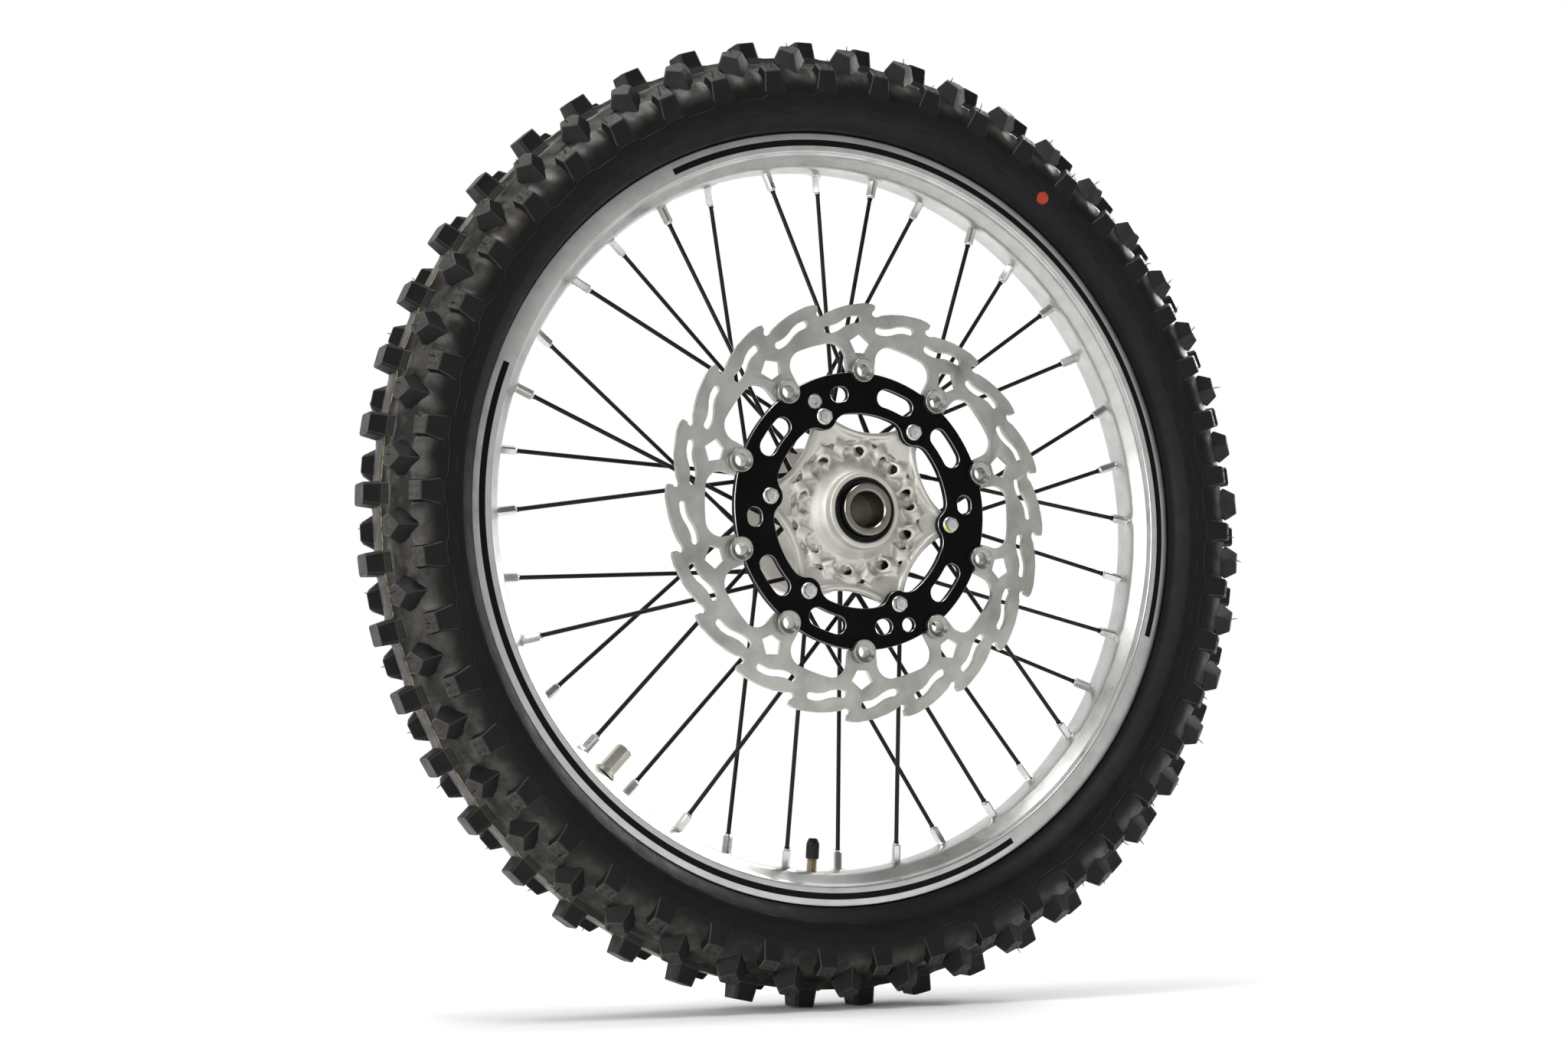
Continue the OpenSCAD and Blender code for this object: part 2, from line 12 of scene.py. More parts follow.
import bmesh
import bpy
import numpy as np
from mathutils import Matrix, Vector


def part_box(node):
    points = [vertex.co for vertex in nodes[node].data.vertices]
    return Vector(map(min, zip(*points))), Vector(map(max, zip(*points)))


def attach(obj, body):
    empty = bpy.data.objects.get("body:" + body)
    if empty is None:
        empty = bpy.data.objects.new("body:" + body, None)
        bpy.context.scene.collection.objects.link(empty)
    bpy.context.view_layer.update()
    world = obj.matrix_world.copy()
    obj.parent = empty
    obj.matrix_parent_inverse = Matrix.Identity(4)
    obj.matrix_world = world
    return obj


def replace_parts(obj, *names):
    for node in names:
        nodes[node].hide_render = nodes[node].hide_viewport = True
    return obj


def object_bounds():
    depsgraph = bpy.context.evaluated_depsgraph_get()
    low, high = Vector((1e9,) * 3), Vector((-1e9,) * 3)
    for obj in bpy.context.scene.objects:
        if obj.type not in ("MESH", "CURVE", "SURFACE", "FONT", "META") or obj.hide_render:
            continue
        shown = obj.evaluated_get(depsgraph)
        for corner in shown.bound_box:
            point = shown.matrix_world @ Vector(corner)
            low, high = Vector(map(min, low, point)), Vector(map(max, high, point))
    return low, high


MM = 0.001
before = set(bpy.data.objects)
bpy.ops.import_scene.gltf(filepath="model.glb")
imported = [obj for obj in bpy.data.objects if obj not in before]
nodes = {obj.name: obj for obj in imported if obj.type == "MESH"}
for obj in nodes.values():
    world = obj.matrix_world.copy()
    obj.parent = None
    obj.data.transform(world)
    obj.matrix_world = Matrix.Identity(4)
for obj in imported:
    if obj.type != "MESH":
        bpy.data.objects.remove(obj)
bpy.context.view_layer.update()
dice = random.Random(21)


def reach(node):
    """Largest distance of a CAD node from the axis, in millimetres."""
    low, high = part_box(node)
    return max(high.x, high.z, -low.x, -low.z) / MM


def side_span(node):
    """Where a CAD node starts and ends across the wheel, disc side positive."""
    low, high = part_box(node)
    return -high.y / MM, -low.y / MM


# ---- Main sizes ----

TYRE_R = reach("tyre")
SHOULDER_W = side_span("tyre")[1]
CARCASS_R = TYRE_R - 12.5
PITCHES = 46
PITCH_A = 360 / PITCHES
RIM_R = reach("rim")
RIM_W = side_span("rim")[1]
RIM_WELL_R = RIM_R - 24.7
SPOKES_PER_GROUP = 9
FIRST_NIPPLE_A = 1.85
NIPPLE_R = 257
NIPPLE_W = 3
HEAD_R = 44.5
# by whether the spoke is an outer one: the head's side, and its angle ahead of the nipple
HEAD_W = {True: 43.5, False: 38}
HEAD_LEAD_A = {True: 43.5, False: -39.5}
DISC_BOLT_R = 72
DISC_BOLT_A = 54.35
DISC_BOLTS = 6
BOBBIN_R = 100.3
BOBBIN_A = 18.17
BOBBINS = 10
MAGNET_AT = (84.5, 116)
VALVE_A = -93.15
RIM_LOCK_A = -133.15
SPACER_END_W = side_span("spacer_disc_side")[1]
HEX_STEPS = 48
SIDES = ((1, "disc_side"), (-1, "far_side"))
MARK_LINE_R = 338.6
MARK_LINE_W = 10
PAINT_DOT_AT = (293.5, 56.8, 40.5)
STRIPE_R = 272.4
STRIPE_HALF = 2.2
# each gap's middle angle and half width
STRIPE_GAPS = ((139.7, 20.3), (-38.4, 20.9))


# ---- Camera ----

camera = bpy.data.objects.new("camera", bpy.data.cameras.new("camera"))
bpy.context.scene.collection.objects.link(camera)
camera.data.sensor_width = 36
camera.data.lens = 56.08
camera.location = (-0.79284, -1.58535, -0.18634)
camera.rotation_euler = Vector((0.428526, 0.897523, 0.104008)).to_track_quat("-Z", "Y").to_euler()
bpy.context.scene.camera = camera


# ---- Mesh helpers ----


def place(r, a, w):
    """The point at radius r, angle a and side w, in metres."""
    t = math.radians(a)
    return Vector((r * math.cos(t), -w, r * math.sin(t))) * MM


def to_frame(points):
    """Turns millimetres along X, along Z and towards the disc side into the shared frame.
    For a tread block at angle 0 these are its radius, its way round and its side."""
    p = np.asarray(points, float)
    return np.stack([p[..., 0], -p[..., 2], p[..., 1]], -1) * MM


def make(name, points, faces, material, body="wheel", slot=None, smooth_deg=None,
         second=None, marks=None):
    """A mesh piece from points in metres that rides on a body. marks picks each face's finish."""
    mesh = bpy.data.meshes.new(name)
    mesh.from_pydata([tuple(p) for p in points], [], faces)
    if second:
        mesh.materials.append(material)
        mesh.materials.append(second)
        mesh.polygons.foreach_set("material_index", marks)
    piece = bpy.data.objects.new(name, mesh)
    bpy.context.scene.collection.objects.link(piece)
    return finish_piece(piece, material, body, smooth_deg)


def finish_piece(piece, material, body="wheel", smooth_deg=None):
    """Gives a piece outward normals, smooth shading below an angle, a material and a body."""
    bm = bmesh.new()
    bm.from_mesh(piece.data)
    bmesh.ops.remove_doubles(bm, verts=bm.verts, dist=1e-6)
    bmesh.ops.recalc_face_normals(bm, faces=bm.faces)
    limit = math.radians(smooth_deg or 0)
    for face in bm.faces:
        face.smooth = smooth_deg is not None
    for edge in bm.edges:
        edge.smooth = len(edge.link_faces) == 2 and edge.calc_face_angle(0) < limit
    bm.to_mesh(piece.data)
    bm.free()
    if not piece.data.materials:
        piece.data.materials.append(material)
    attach(piece, body)
    return piece


def loft(loops, capped=True):
    """Points and faces that join loops of the same length, with flat caps."""
    n = len(loops[0])
    points = [p for loop in loops for p in loop]
    faces = []
    for k in range(len(loops) - 1):
        for i in range(n):
            j = (i + 1) % n
            faces.append((k * n + i, k * n + j, (k + 1) * n + j, (k + 1) * n + i))
    if capped:
        faces.append(tuple(range(n - 1, -1, -1)))
        faces.append(tuple(range((len(loops) - 1) * n, len(loops) * n)))
    return points, faces


def revolve(profile, steps=180, shift=None):
    """A closed (radius, side) outline turned round the axis.
    shift(a, r, w) may return new r and w arrays for every angle and outline point."""
    outline = np.asarray(profile, float)
    a = np.linspace(0, 360, steps, endpoint=False)[:, None]
    r = np.broadcast_to(outline[:, 0], (steps, len(outline)))
    w = np.broadcast_to(outline[:, 1], (steps, len(outline)))
    if shift:
        r, w = shift(a, r, w)
    t = np.radians(a)
    points = np.stack([r * np.cos(t), -w, r * np.sin(t)], -1).reshape(-1, 3) * MM
    m = len(outline)
    i, k = np.meshgrid(np.arange(steps), np.arange(m), indexing="ij")
    i2, k2 = (i + 1) % steps, (k + 1) % m
    quads = np.stack([i * m + k, i * m + k2, i2 * m + k2, i2 * m + k], -1).reshape(-1, 4)
    return points, quads.tolist()


def rounded(outline, radius, steps=3, closed=True):
    """Rounds the corners of an outline. A point may carry its own radius as a third value."""
    out = []
    n = len(outline)
    for i, p in enumerate(outline):
        r = p[2] if len(p) > 2 else radius
        here = np.array(p[:2], float)
        if not closed and i in (0, n - 1):
            out.append(tuple(here))
            continue
        before = np.array(outline[i - 1][:2], float) - here
        after = np.array(outline[(i + 1) % n][:2], float) - here
        lb, la = np.linalg.norm(before), np.linalg.norm(after)
        if r <= 0 or lb < 1e-9 or la < 1e-9:
            out.append(tuple(here))
            continue
        cut = min(r, 0.45 * lb, 0.45 * la)
        start, end = here + before / lb * cut, here + after / la * cut
        for s in range(steps + 1):
            f = s / steps
            out.append(tuple((1 - f) ** 2 * start + 2 * f * (1 - f) * here + f * f * end))
    return out


def smooth_line(points, per_span):
    """A Catmull-Rom line through points, with its ends kept."""
    p = np.asarray(points, float)
    p = np.vstack([2 * p[0] - p[1], p, 2 * p[-1] - p[-2]])
    out = []
    for i in range(1, len(p) - 2):
        for s in range(per_span):
            f = s / per_span
            out.append(0.5 * (2 * p[i] + (p[i + 1] - p[i - 1]) * f
                              + (2 * p[i - 1] - 5 * p[i] + 4 * p[i + 1] - p[i + 2]) * f * f
                              + (3 * p[i] - p[i - 1] - 3 * p[i + 1] + p[i + 2]) * f ** 3))
    out.append(p[-2])
    return [tuple(q) for q in out]


def turns(steps):
    """Equal steps round a full turn, in radians."""
    return np.linspace(0, 2 * math.pi, steps, endpoint=False)


def ring(radius, height, steps):
    """Points round Z. The radius is one number, or one for every step."""
    a = turns(steps)
    return np.stack([radius * np.cos(a), radius * np.sin(a), np.full(steps, height)], -1)


def hex_radius(corner):
    """Distance to the outline of a hexagon with a given corner radius, for every step."""
    sixth = math.pi / 3
    return corner * math.cos(sixth / 2) / np.cos(turns(HEX_STEPS) % sixth - sixth / 2)


def shell(loops, capped=True):
    """Points and faces of lofted loops given as arrays."""
    points, faces = loft(loops, capped)
    return np.array(points, float), faces


def on_side(outline, side):
    """A (radius, side) outline, mirrored for the far side."""
    return [(r, w * side) for r, w in outline]


def lathe(profile, steps=48):
    """A (radius, height) line turned about its own Z axis, in millimetres, closed at both ends."""
    return shell([ring(r, z, steps) for r, z in profile])


def hollow(profile, steps=48):
    """A closed (radius, height) outline turned about its own Z axis."""
    return shell([ring(r, z, steps) for r, z in profile + profile[:1]], capped=False)


def basis(direction):
    """Two unit vectors square to a direction."""
    d = np.array(direction, float) / np.linalg.norm(direction)
    x = np.cross(d, (0, 0, 1)) if abs(d[2]) < 0.9 else np.cross(d, (0, 1, 0))
    x /= np.linalg.norm(x)
    return x, np.cross(d, x), d


def stand(part, base, direction, turn=0.0):
    """Moves a part drawn about Z onto a base point, pointing along a direction."""
    points, faces = part
    x, y, d = basis(direction)
    c, s = math.cos(turn), math.sin(turn)
    px = points[:, 0] * c - points[:, 1] * s
    py = points[:, 0] * s + points[:, 1] * c
    return np.array(base) + px[:, None] * x + py[:, None] * y + points[:, 2:3] * d, faces


def gather(parts):
    """Joins several (points, faces) pairs into one."""
    points, faces, base = [], [], 0
    for p, f in parts:
        points.append(np.asarray(p, float))
        faces += [tuple(i + base for i in face) for face in f]
        base += len(p)
    return np.vstack(points), faces


def cad_copy(node, name):
    """A welded copy of a CAD node's mesh, with its flat faces in one piece."""
    mesh = nodes[node].data.copy()
    mesh.name = name
    mesh.materials.clear()
    bm = bmesh.new()
    bm.from_mesh(mesh)
    bmesh.ops.remove_doubles(bm, verts=bm.verts, dist=2e-6)
    bmesh.ops.dissolve_limit(bm, angle_limit=math.radians(0.6), verts=bm.verts, edges=bm.edges)
    bm.to_mesh(mesh)
    bm.free()
    piece = bpy.data.objects.new(name, mesh)
    bpy.context.scene.collection.objects.link(piece)
    return piece


def softened(node, name, width, material, edge_material=None, body="wheel", steps=2):
    """A piece that stands for a CAD node, with its sharp edges broken."""
    piece = cad_copy(node, name)
    piece.data.materials.append(material)
    if edge_material:
        piece.data.materials.append(edge_material)
    bm = bmesh.new()
    bm.from_mesh(piece.data)
    sharp = [e for e in bm.edges
             if len(e.link_faces) == 2 and e.calc_face_angle(0) > math.radians(50)]
    bmesh.ops.bevel(bm, geom=sharp, offset=width * MM, segments=steps, profile=0.5,
                    affect="EDGES", clamp_overlap=True, loop_slide=True,
                    material=1 if edge_material else -1)
    bm.to_mesh(piece.data)
    bm.free()
    finish_piece(piece, material, body, 20)
    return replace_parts(piece, node)


def apply_modifiers(piece):
    """Makes a piece's modifiers part of its mesh."""
    depsgraph = bpy.context.evaluated_depsgraph_get()
    mesh = bpy.data.meshes.new_from_object(piece.evaluated_get(depsgraph))
    piece.modifiers.clear()
    piece.data = mesh


# ---- Material helpers ----

SHEEN = "Specular IOR Level"


class Look:
    """A Principled material and the few node shapes that the finishes share."""

    def __init__(self, name, color, **sockets):
        self.material = bpy.data.materials.new(name)
        self.material.use_nodes = True
        self.tree = self.material.node_tree
        self.shader = self.tree.nodes["Principled BSDF"]
        self.shader.inputs["Base Color"].default_value = (*color, 1)
        for key, value in sockets.items():
            self.shader.inputs[key].default_value = value
        self.at = self.node("ShaderNodeTexCoord").outputs["Object"]
        self.relief = None

    def node(self, kind, **values):
        made = self.tree.nodes.new(kind)
        for key, value in values.items():
            if hasattr(made, key):
                setattr(made, key, value)
            else:
                self.feed(made.inputs[key.replace("_", " ")], value)
        return made

    def feed(self, socket, value):
        if isinstance(value, bpy.types.NodeSocket):
            self.tree.links.new(value, socket)
        else:
            socket.default_value = value

    def math(self, operation, a, b=0.0):
        made = self.node("ShaderNodeMath", operation=operation)
        for socket, value in zip(made.inputs, (a, b)):
            self.feed(socket, value)
        return made.outputs[0]

    def noise(self, scale, detail=4.0, roughness=0.55, at=None):
        made = self.node("ShaderNodeTexNoise", Vector=at or self.at)
        made.inputs["Scale"].default_value = scale
        made.inputs["Detail"].default_value = detail
        made.inputs["Roughness"].default_value = roughness
        return made.outputs[0]

    def remap(self, value, low, high, to_low, to_high):
        made = self.node("ShaderNodeMapRange", Value=value)
        for key, number in (("From Min", low), ("From Max", high),
                            ("To Min", to_low), ("To Max", to_high)):
            made.inputs[key].default_value = number
        return made.outputs[0]

    def patches(self, scale, detail, low, high, to_low=0.0, to_high=1.0):
        """Soft noise whose low..high part is stretched over to_low..to_high."""
        return self.remap(self.noise(scale, detail), low, high, to_low, to_high)

    def mix(self, factor, a, b):
        made = self.node("ShaderNodeMix", data_type="RGBA")
        self.feed(made.inputs[0], factor)
        self.feed(made.inputs[6], (*a, 1) if isinstance(a, tuple) else a)
        self.feed(made.inputs[7], (*b, 1) if isinstance(b, tuple) else b)
        return made.outputs[2]

    def polar(self):
        """Radius and side in metres, and angle in degrees, of the shaded point."""
        split = self.node("ShaderNodeSeparateXYZ", Vector=self.at)
        x, y, z = split.outputs
        r = self.math("SQRT", self.math("ADD", self.math("MULTIPLY", x, x),
                                        self.math("MULTIPLY", z, z)))
        a = self.math("MULTIPLY", self.math("ARCTAN2", z, x), 180 / math.pi)
        return r, a, self.math("MULTIPLY", y, -1.0)

    def polar_vector(self, r_scale, a_scale, w_scale):
        """The point as a stretched (radius, angle, side) vector, for grain that runs round."""
        r, a, w = self.polar()
        made = self.node("ShaderNodeCombineXYZ")
        for socket, value, scale in zip(made.inputs, (r, a, w), (r_scale, a_scale, w_scale)):
            self.feed(socket, self.math("MULTIPLY", value, scale))
        return made.outputs[0]

    def band(self, value, middle, half, soft):
        """1 where value is within half of middle, falling to 0 over soft."""
        away = self.math("ABSOLUTE", self.math("SUBTRACT", value, middle))
        return self.remap(away, half, half + soft, 1.0, 0.0)

    def color(self, value):
        self.feed(self.shader.inputs["Base Color"], value)

    def rough(self, value):
        self.feed(self.shader.inputs["Roughness"], value)

    def bump(self, height, distance, strength):
        """Adds relief from a height, on top of the relief that is already there."""
        made = self.node("ShaderNodeBump", Height=height)
        made.inputs["Distance"].default_value = distance
        made.inputs["Strength"].default_value = strength
        if self.relief is not None:
            self.feed(made.inputs["Normal"], self.relief)
        self.relief = made.outputs[0]
        self.feed(self.shader.inputs["Normal"], self.relief)


def stained(color):
    return tuple(c * 0.88 for c in color)


def metal(name, color, rough, grain=900.0, grain_depth=0.00002):
    """A plain metal with fine grain, uneven sheen and faint staining."""
    look = Look(name, color, Metallic=1.0)
    cloud = look.noise(40.0, 5.0)
    look.rough(look.remap(cloud, 0.3, 0.7, rough - 0.08, rough + 0.08))
    look.color(look.mix(look.patches(120.0, 6.0, 0.35, 0.7), color, stained(color)))
    look.bump(look.noise(grain, 3.0), grain_depth, 0.5)
    return look


def turned(name, color, rough):
    """Lathe-turned metal with fine lines round the wheel axis."""
    look = Look(name, color, Metallic=1.0)
    grain = look.noise(1.0, 3.0, at=look.polar_vector(5200.0, 0.05, 5200.0))
    look.rough(look.remap(grain, 0.3, 0.7, rough - 0.06, rough + 0.08))
    look.color(look.mix(look.patches(60.0, 4.0, 0.3, 0.7), color, stained(color)))
    look.bump(grain, 0.00001, 0.6)
    return look


def rubber(name, color, rough, dust_share=0.25):
    """Moulded rubber with a soft bloom of dust and a fine skin."""
    look = Look(name, color, **{SHEEN: 0.22})
    cloud = look.noise(35.0, 6.0, 0.6)
    base = look.mix(look.remap(cloud, 0.42, 0.75, 0.0, dust_share), color, (0.09, 0.085, 0.075))
    look.color(base)
    look.rough(look.patches(90.0, 5.0, 0.3, 0.7, rough - 0.1, rough + 0.1))
    look.bump(look.noise(2600.0, 2.0), 0.00006, 0.35)
    look.bump(look.noise(160.0, 4.0), 0.0004, 0.25)
    look.base = base
    return look


# ---- Finishes ----


def tyre_look():
    """Black rubber with a satin tread floor painted lighter brown, partly as mould-release dust and
    partly as painted sheen, a thin marking line and one paint dot.
    """
    look = rubber("tyre_rubber_finish", (0.0035, 0.0034, 0.0032), 0.50, dust_share=0.03)
    r, a, w = look.polar()
    tread = look.remap(r, 0.309, 0.319, 0.0, 1.0)
    # the tread floor is painted lighter brown, partly as mould-release dust and partly as painted
    # sheen
    floor_dust_and_sheen = look.math("MULTIPLY", tread, look.patches(60.0, 6.0, 0.44, 0.66, 0.15, 1.0))
    base = look.mix(floor_dust_and_sheen, look.base, (0.062, 0.057, 0.048))
    line = look.math("MULTIPLY", look.band(w, MARK_LINE_W * MM, 0.0003, 0.0003),
                     look.band(r, MARK_LINE_R * MM, 0.0007, 0.0003))
    line = look.math("MULTIPLY", line, look.patches(240.0, 4.0, 0.35, 0.55, 0.0, 0.85))
    base = look.mix(line, base, (0.30, 0.25, 0.08))
    spot = look.node("ShaderNodeVectorMath", operation="DISTANCE")
    look.feed(spot.inputs[0], look.at)
    spot.inputs[1].default_value = place(*PAINT_DOT_AT)
    ragged = look.math("ADD", spot.outputs["Value"],
                       look.patches(500.0, 4.0, 0, 1, -0.0006, 0.0006))
    dot = look.remap(ragged, 0.0044, 0.0048, 0.9, 0.0)
    look.color(look.mix(dot, base, (0.42, 0.05, 0.022)))
    look.rough(look.math("ADD", look.math("MULTIPLY", tread, -0.16),
                         look.patches(90.0, 5.0, 0.3, 0.7, 0.44, 0.62)))
    gleam = look.math("SINE", look.math("MULTIPLY", a, 0.9))
    dashes = look.math("MULTIPLY", look.math("GREATER_THAN", gleam, 0.2),
                       look.math("ADD", look.band(r, 0.2905, 0.0003, 0.0003),
                                 look.band(r, 0.2962, 0.0003, 0.0003)))
    look.bump(dashes, 0.0004, 0.8)
    look.bump(look.noise(1.0, 2.0, at=look.polar_vector(2600.0, 0.0, 0.0)), 0.00005, 0.35)
    return look.material


def knob_look(name, skin, flank):
    """Tread block rubber: a grey skin painted on faces that look outwards as painted sheen, black
    flanks.
    """
    look = rubber(name, flank, 0.5, dust_share=0.05)
    shape = look.node("ShaderNodeNewGeometry")
    up = look.node("ShaderNodeVectorMath", operation="DOT_PRODUCT")
    radial = look.node("ShaderNodeVectorMath", operation="NORMALIZE")
    flat = look.node("ShaderNodeVectorMath", operation="MULTIPLY")
    look.feed(flat.inputs[0], look.at)
    flat.inputs[1].default_value = (1, 0, 1)
    look.feed(radial.inputs[0], flat.outputs[0])
    look.feed(up.inputs[0], shape.outputs["True Normal"])
    look.feed(up.inputs[1], radial.outputs[0])
    # faces that look outwards take the lighter skin as painted sheen, in uneven patches
    painted_sheen = look.math("MULTIPLY", look.remap(up.outputs["Value"], 0.35, 0.65, 0.0, 1.0),
                     look.remap(look.noise(300.0, 6.0, 0.65), 0.35, 0.65, 0.4, 1.0))
    look.color(look.mix(painted_sheen, look.base, skin))
    look.bump(look.noise(650.0, 6.0, 0.6), 0.0003, 0.35)
    return look.material


def rim_look():
    """Satin anodised rim with a black pinstripe on the disc-side flank."""
    look = Look("rim_anodised_finish", (0.66, 0.665, 0.64), Metallic=1.0, **{SHEEN: 0.08})
    r, a, w = look.polar()
    grain = look.noise(1.0, 3.0, at=look.polar_vector(3600.0, 0.6, 3600.0))
    cloud = look.noise(28.0, 5.0)
    look.rough(look.math("ADD", look.remap(grain, 0.3, 0.7, -0.03, 0.05),
                         look.remap(cloud, 0.3, 0.7, 0.27, 0.37)))
    metal_color = look.mix(look.patches(75.0, 6.0, 0.4, 0.7),
                           (0.61, 0.62, 0.60), (0.52, 0.53, 0.51))
    on_flank = look.math("GREATER_THAN", w, (RIM_W - 0.6) * MM)
    on_line = look.band(r, STRIPE_R * MM, STRIPE_HALF * MM, 0.00015)
    gaps = look.math("MAXIMUM", *[look.band(a, *gap, 0.1) for gap in STRIPE_GAPS])
    stripe = look.math("MULTIPLY", look.math("MULTIPLY", on_flank, on_line),
                       look.math("SUBTRACT", 1.0, gaps))
    look.color(look.mix(stripe, metal_color, (0.006, 0.006, 0.007)))
    look.feed(look.shader.inputs["Metallic"], look.math("SUBTRACT", 1.0, stripe))
    look.bump(grain, 0.000005, 0.4)
    return look.material


def hub_look():
    """Cast and blasted aluminium, with painted shade darkening the hollows."""
    look = Look("hub_cast_finish", (0.62, 0.60, 0.56), Metallic=0.75)
    shape = look.node("ShaderNodeNewGeometry")
    clear_of_painted_shade = look.remap(shape.outputs["Pointiness"], 0.34, 0.47, 0.0, 1.0)
    patch = look.mix(look.patches(55.0, 5.0, 0.35, 0.7),
                     (0.72, 0.70, 0.655), (0.60, 0.58, 0.535))
    # concave spots take a dark brown as painted shade
    look.color(look.mix(clear_of_painted_shade, (0.20, 0.175, 0.135), patch))
    look.rough(look.patches(80.0, 4.0, 0.3, 0.7, 0.46, 0.6))
    look.bump(look.noise(1500.0, 3.0), 0.00008, 0.5)
    look.bump(look.noise(220.0, 3.0), 0.0003, 0.3)
    return look.material


def disc_look():
    """Brushed stainless steel, ground in one direction, with heat-soft patches."""
    look = Look("disc_brushed_finish", (0.53, 0.52, 0.50), Metallic=1.0)
    stretched = look.node("ShaderNodeMapping", Vector=look.at)
    stretched.inputs["Scale"].default_value = (3800, 3800, 45)
    grain = look.noise(1.0, 4.0, at=stretched.outputs[0])
    look.rough(look.math("ADD", look.remap(grain, 0.3, 0.7, -0.07, 0.09),
                         look.patches(24.0, 4.0, 0.3, 0.7, 0.3, 0.42)))
    look.color(look.mix(look.patches(30.0, 5.0, 0.35, 0.7),
                        (0.60, 0.595, 0.56), (0.34, 0.34, 0.315)))
    look.bump(grain, 0.000012, 0.6)
    return look.material


def paint_look(name, color, rough, sheen=0.25):
    """Black coated metal with a faint orange peel and rubbed spots."""
    look = Look(name, color, **{SHEEN: sheen})
    rub = look.patches(60.0, 5.0, 0.45, 0.75, 0.0, 0.5)
    look.color(look.mix(rub, color, tuple(min(1, c * 1.8 + 0.002) for c in color)))
    look.rough(look.patches(90.0, 4.0, 0.3, 0.7, rough - 0.08, rough + 0.1))
    look.bump(look.noise(700.0, 2.0), 0.00001, 0.3)
    return look.material


TYRE_LOOK = tyre_look()
# tread blocks: painted sheen on outward faces over black flanks
KNOB_LOOK = knob_look("tread_block_painted_sheen", (0.050, 0.048, 0.042), (0.006, 0.006, 0.006))
# the blocks' chamfers are painted lighter as a painted highlight along their edges
EDGE_HIGHLIGHT_LOOK = knob_look("tread_edge_painted_highlight", (0.095, 0.090, 0.078), (0.028, 0.027, 0.024))
TUBE_LOOK = rubber("tube_rubber_finish", (0.014, 0.014, 0.015), 0.5).material
STRIP_LOOK = rubber("strip_rubber_finish", (0.03, 0.03, 0.032), 0.6).material
RIM_LOOK = rim_look()
HUB_LOOK = hub_look()
# a dark metal painted into the spoke head bores as painted shade
BORE_SHADE_LOOK = metal("hub_bore_painted_shade", (0.16, 0.14, 0.11), 0.5, 800.0).material
DISC_LOOK = disc_look()
SPOKE_LOOK = paint_look("spoke_black_finish", (0.004, 0.004, 0.004), 0.4)
CARRIER_LOOK = paint_look("carrier_black_finish", (0.0012, 0.0012, 0.0013), 0.45, 0.08)
EDGE_LOOK = metal("carrier_edge_finish", (0.30, 0.30, 0.30), 0.35).material
NIPPLE_LOOK = metal("nipple_silver_finish", (0.68, 0.68, 0.66), 0.28, 1800.0, 0.00001).material
TURNED_LOOK = metal("bobbin_turned_finish", (0.40, 0.39, 0.36), 0.32, 1200.0, 0.000006).material
BOLT_LOOK = metal("bolt_zinc_finish", (0.66, 0.66, 0.65), 0.36, 1500.0, 0.00001).material
CLIP_LOOK = metal("clip_steel_finish", (0.25, 0.25, 0.26), 0.4).material
BEARING_LOOK = turned("bearing_steel_finish", (0.70, 0.70, 0.71), 0.2).material
SPACER_LOOK = turned("spacer_steel_finish", (0.27, 0.255, 0.22), 0.22).material
CAGE_LOOK = metal("cage_steel_finish", (0.45, 0.36, 0.22), 0.4).material
SEAL_LOOK = rubber("seal_rubber_finish", (0.006, 0.006, 0.006), 0.3, dust_share=0.03).material
DISTANCE_LOOK = metal("distance_tube_finish", (0.50, 0.47, 0.42), 0.5, 800.0).material
BRASS_LOOK = metal("valve_brass_finish", (0.50, 0.43, 0.28), 0.32, 1800.0).material
CAP_LOOK = paint_look("valve_cap_finish", (0.008, 0.008, 0.008), 0.42)
NICKEL_LOOK = metal("nickel_finish", (0.55, 0.53, 0.47), 0.34, 1500.0, 0.00004).material
SHOE_LOOK = rubber("shoe_rubber_finish", (0.014, 0.014, 0.014), 0.6).material
MARK_LOOK = paint_look("bolt_mark_finish", (0.62, 0.55, 0.03), 0.5)


# ---- Tyre ----


def block_edge(t, w, half_t, half_w):
    """Distance from a rectangle round one block's place, in millimetres, 0 inside."""
    return np.hypot(np.maximum(np.abs(t) - half_t, 0), np.maximum(np.abs(w) - half_w, 0))


def tread_floor(a, r, w):
    """Raises the casing in soft fillets against the tread blocks."""
    t = np.radians((a + PITCH_A / 2) % PITCH_A - PITCH_A / 2) * CARCASS_R
    half = np.radians(a % PITCH_A - PITCH_A / 2) * CARCASS_R
    side = np.abs(w)
    out = r > 300
    centre = np.clip(1 - block_edge(t, w, 8.6, 10.6) / 4.0, 0, 1)
    shoulder = np.clip(1 - block_edge(t, side - 38, 8.8, 4.6) / 5.0, 0, 1)
    knob = np.clip(1 - block_edge(half, side - 29, 12.0, 4.2) / 6.0, 0, 1)
    saddle = np.exp(-(half / 5.0) ** 2) * np.clip(1 - ((r - 315) / 11) ** 2, 0, 1)
    groove = np.clip(1 - ((r - 327) / 8) ** 2, 0, 1) * np.exp(-(t / 6.0) ** 2) * (side > 14)
    lift = (0.7 * centre ** 2 + 2.0 * shoulder ** 2 + 1.7 * knob ** 2 + 1.4 * saddle
            - 1.2 * groove) * out
    inner = np.array([1.0 if i < OUTER_COUNT else 0.0 for i in range(r.shape[1])])
    return r + lift * inner, w


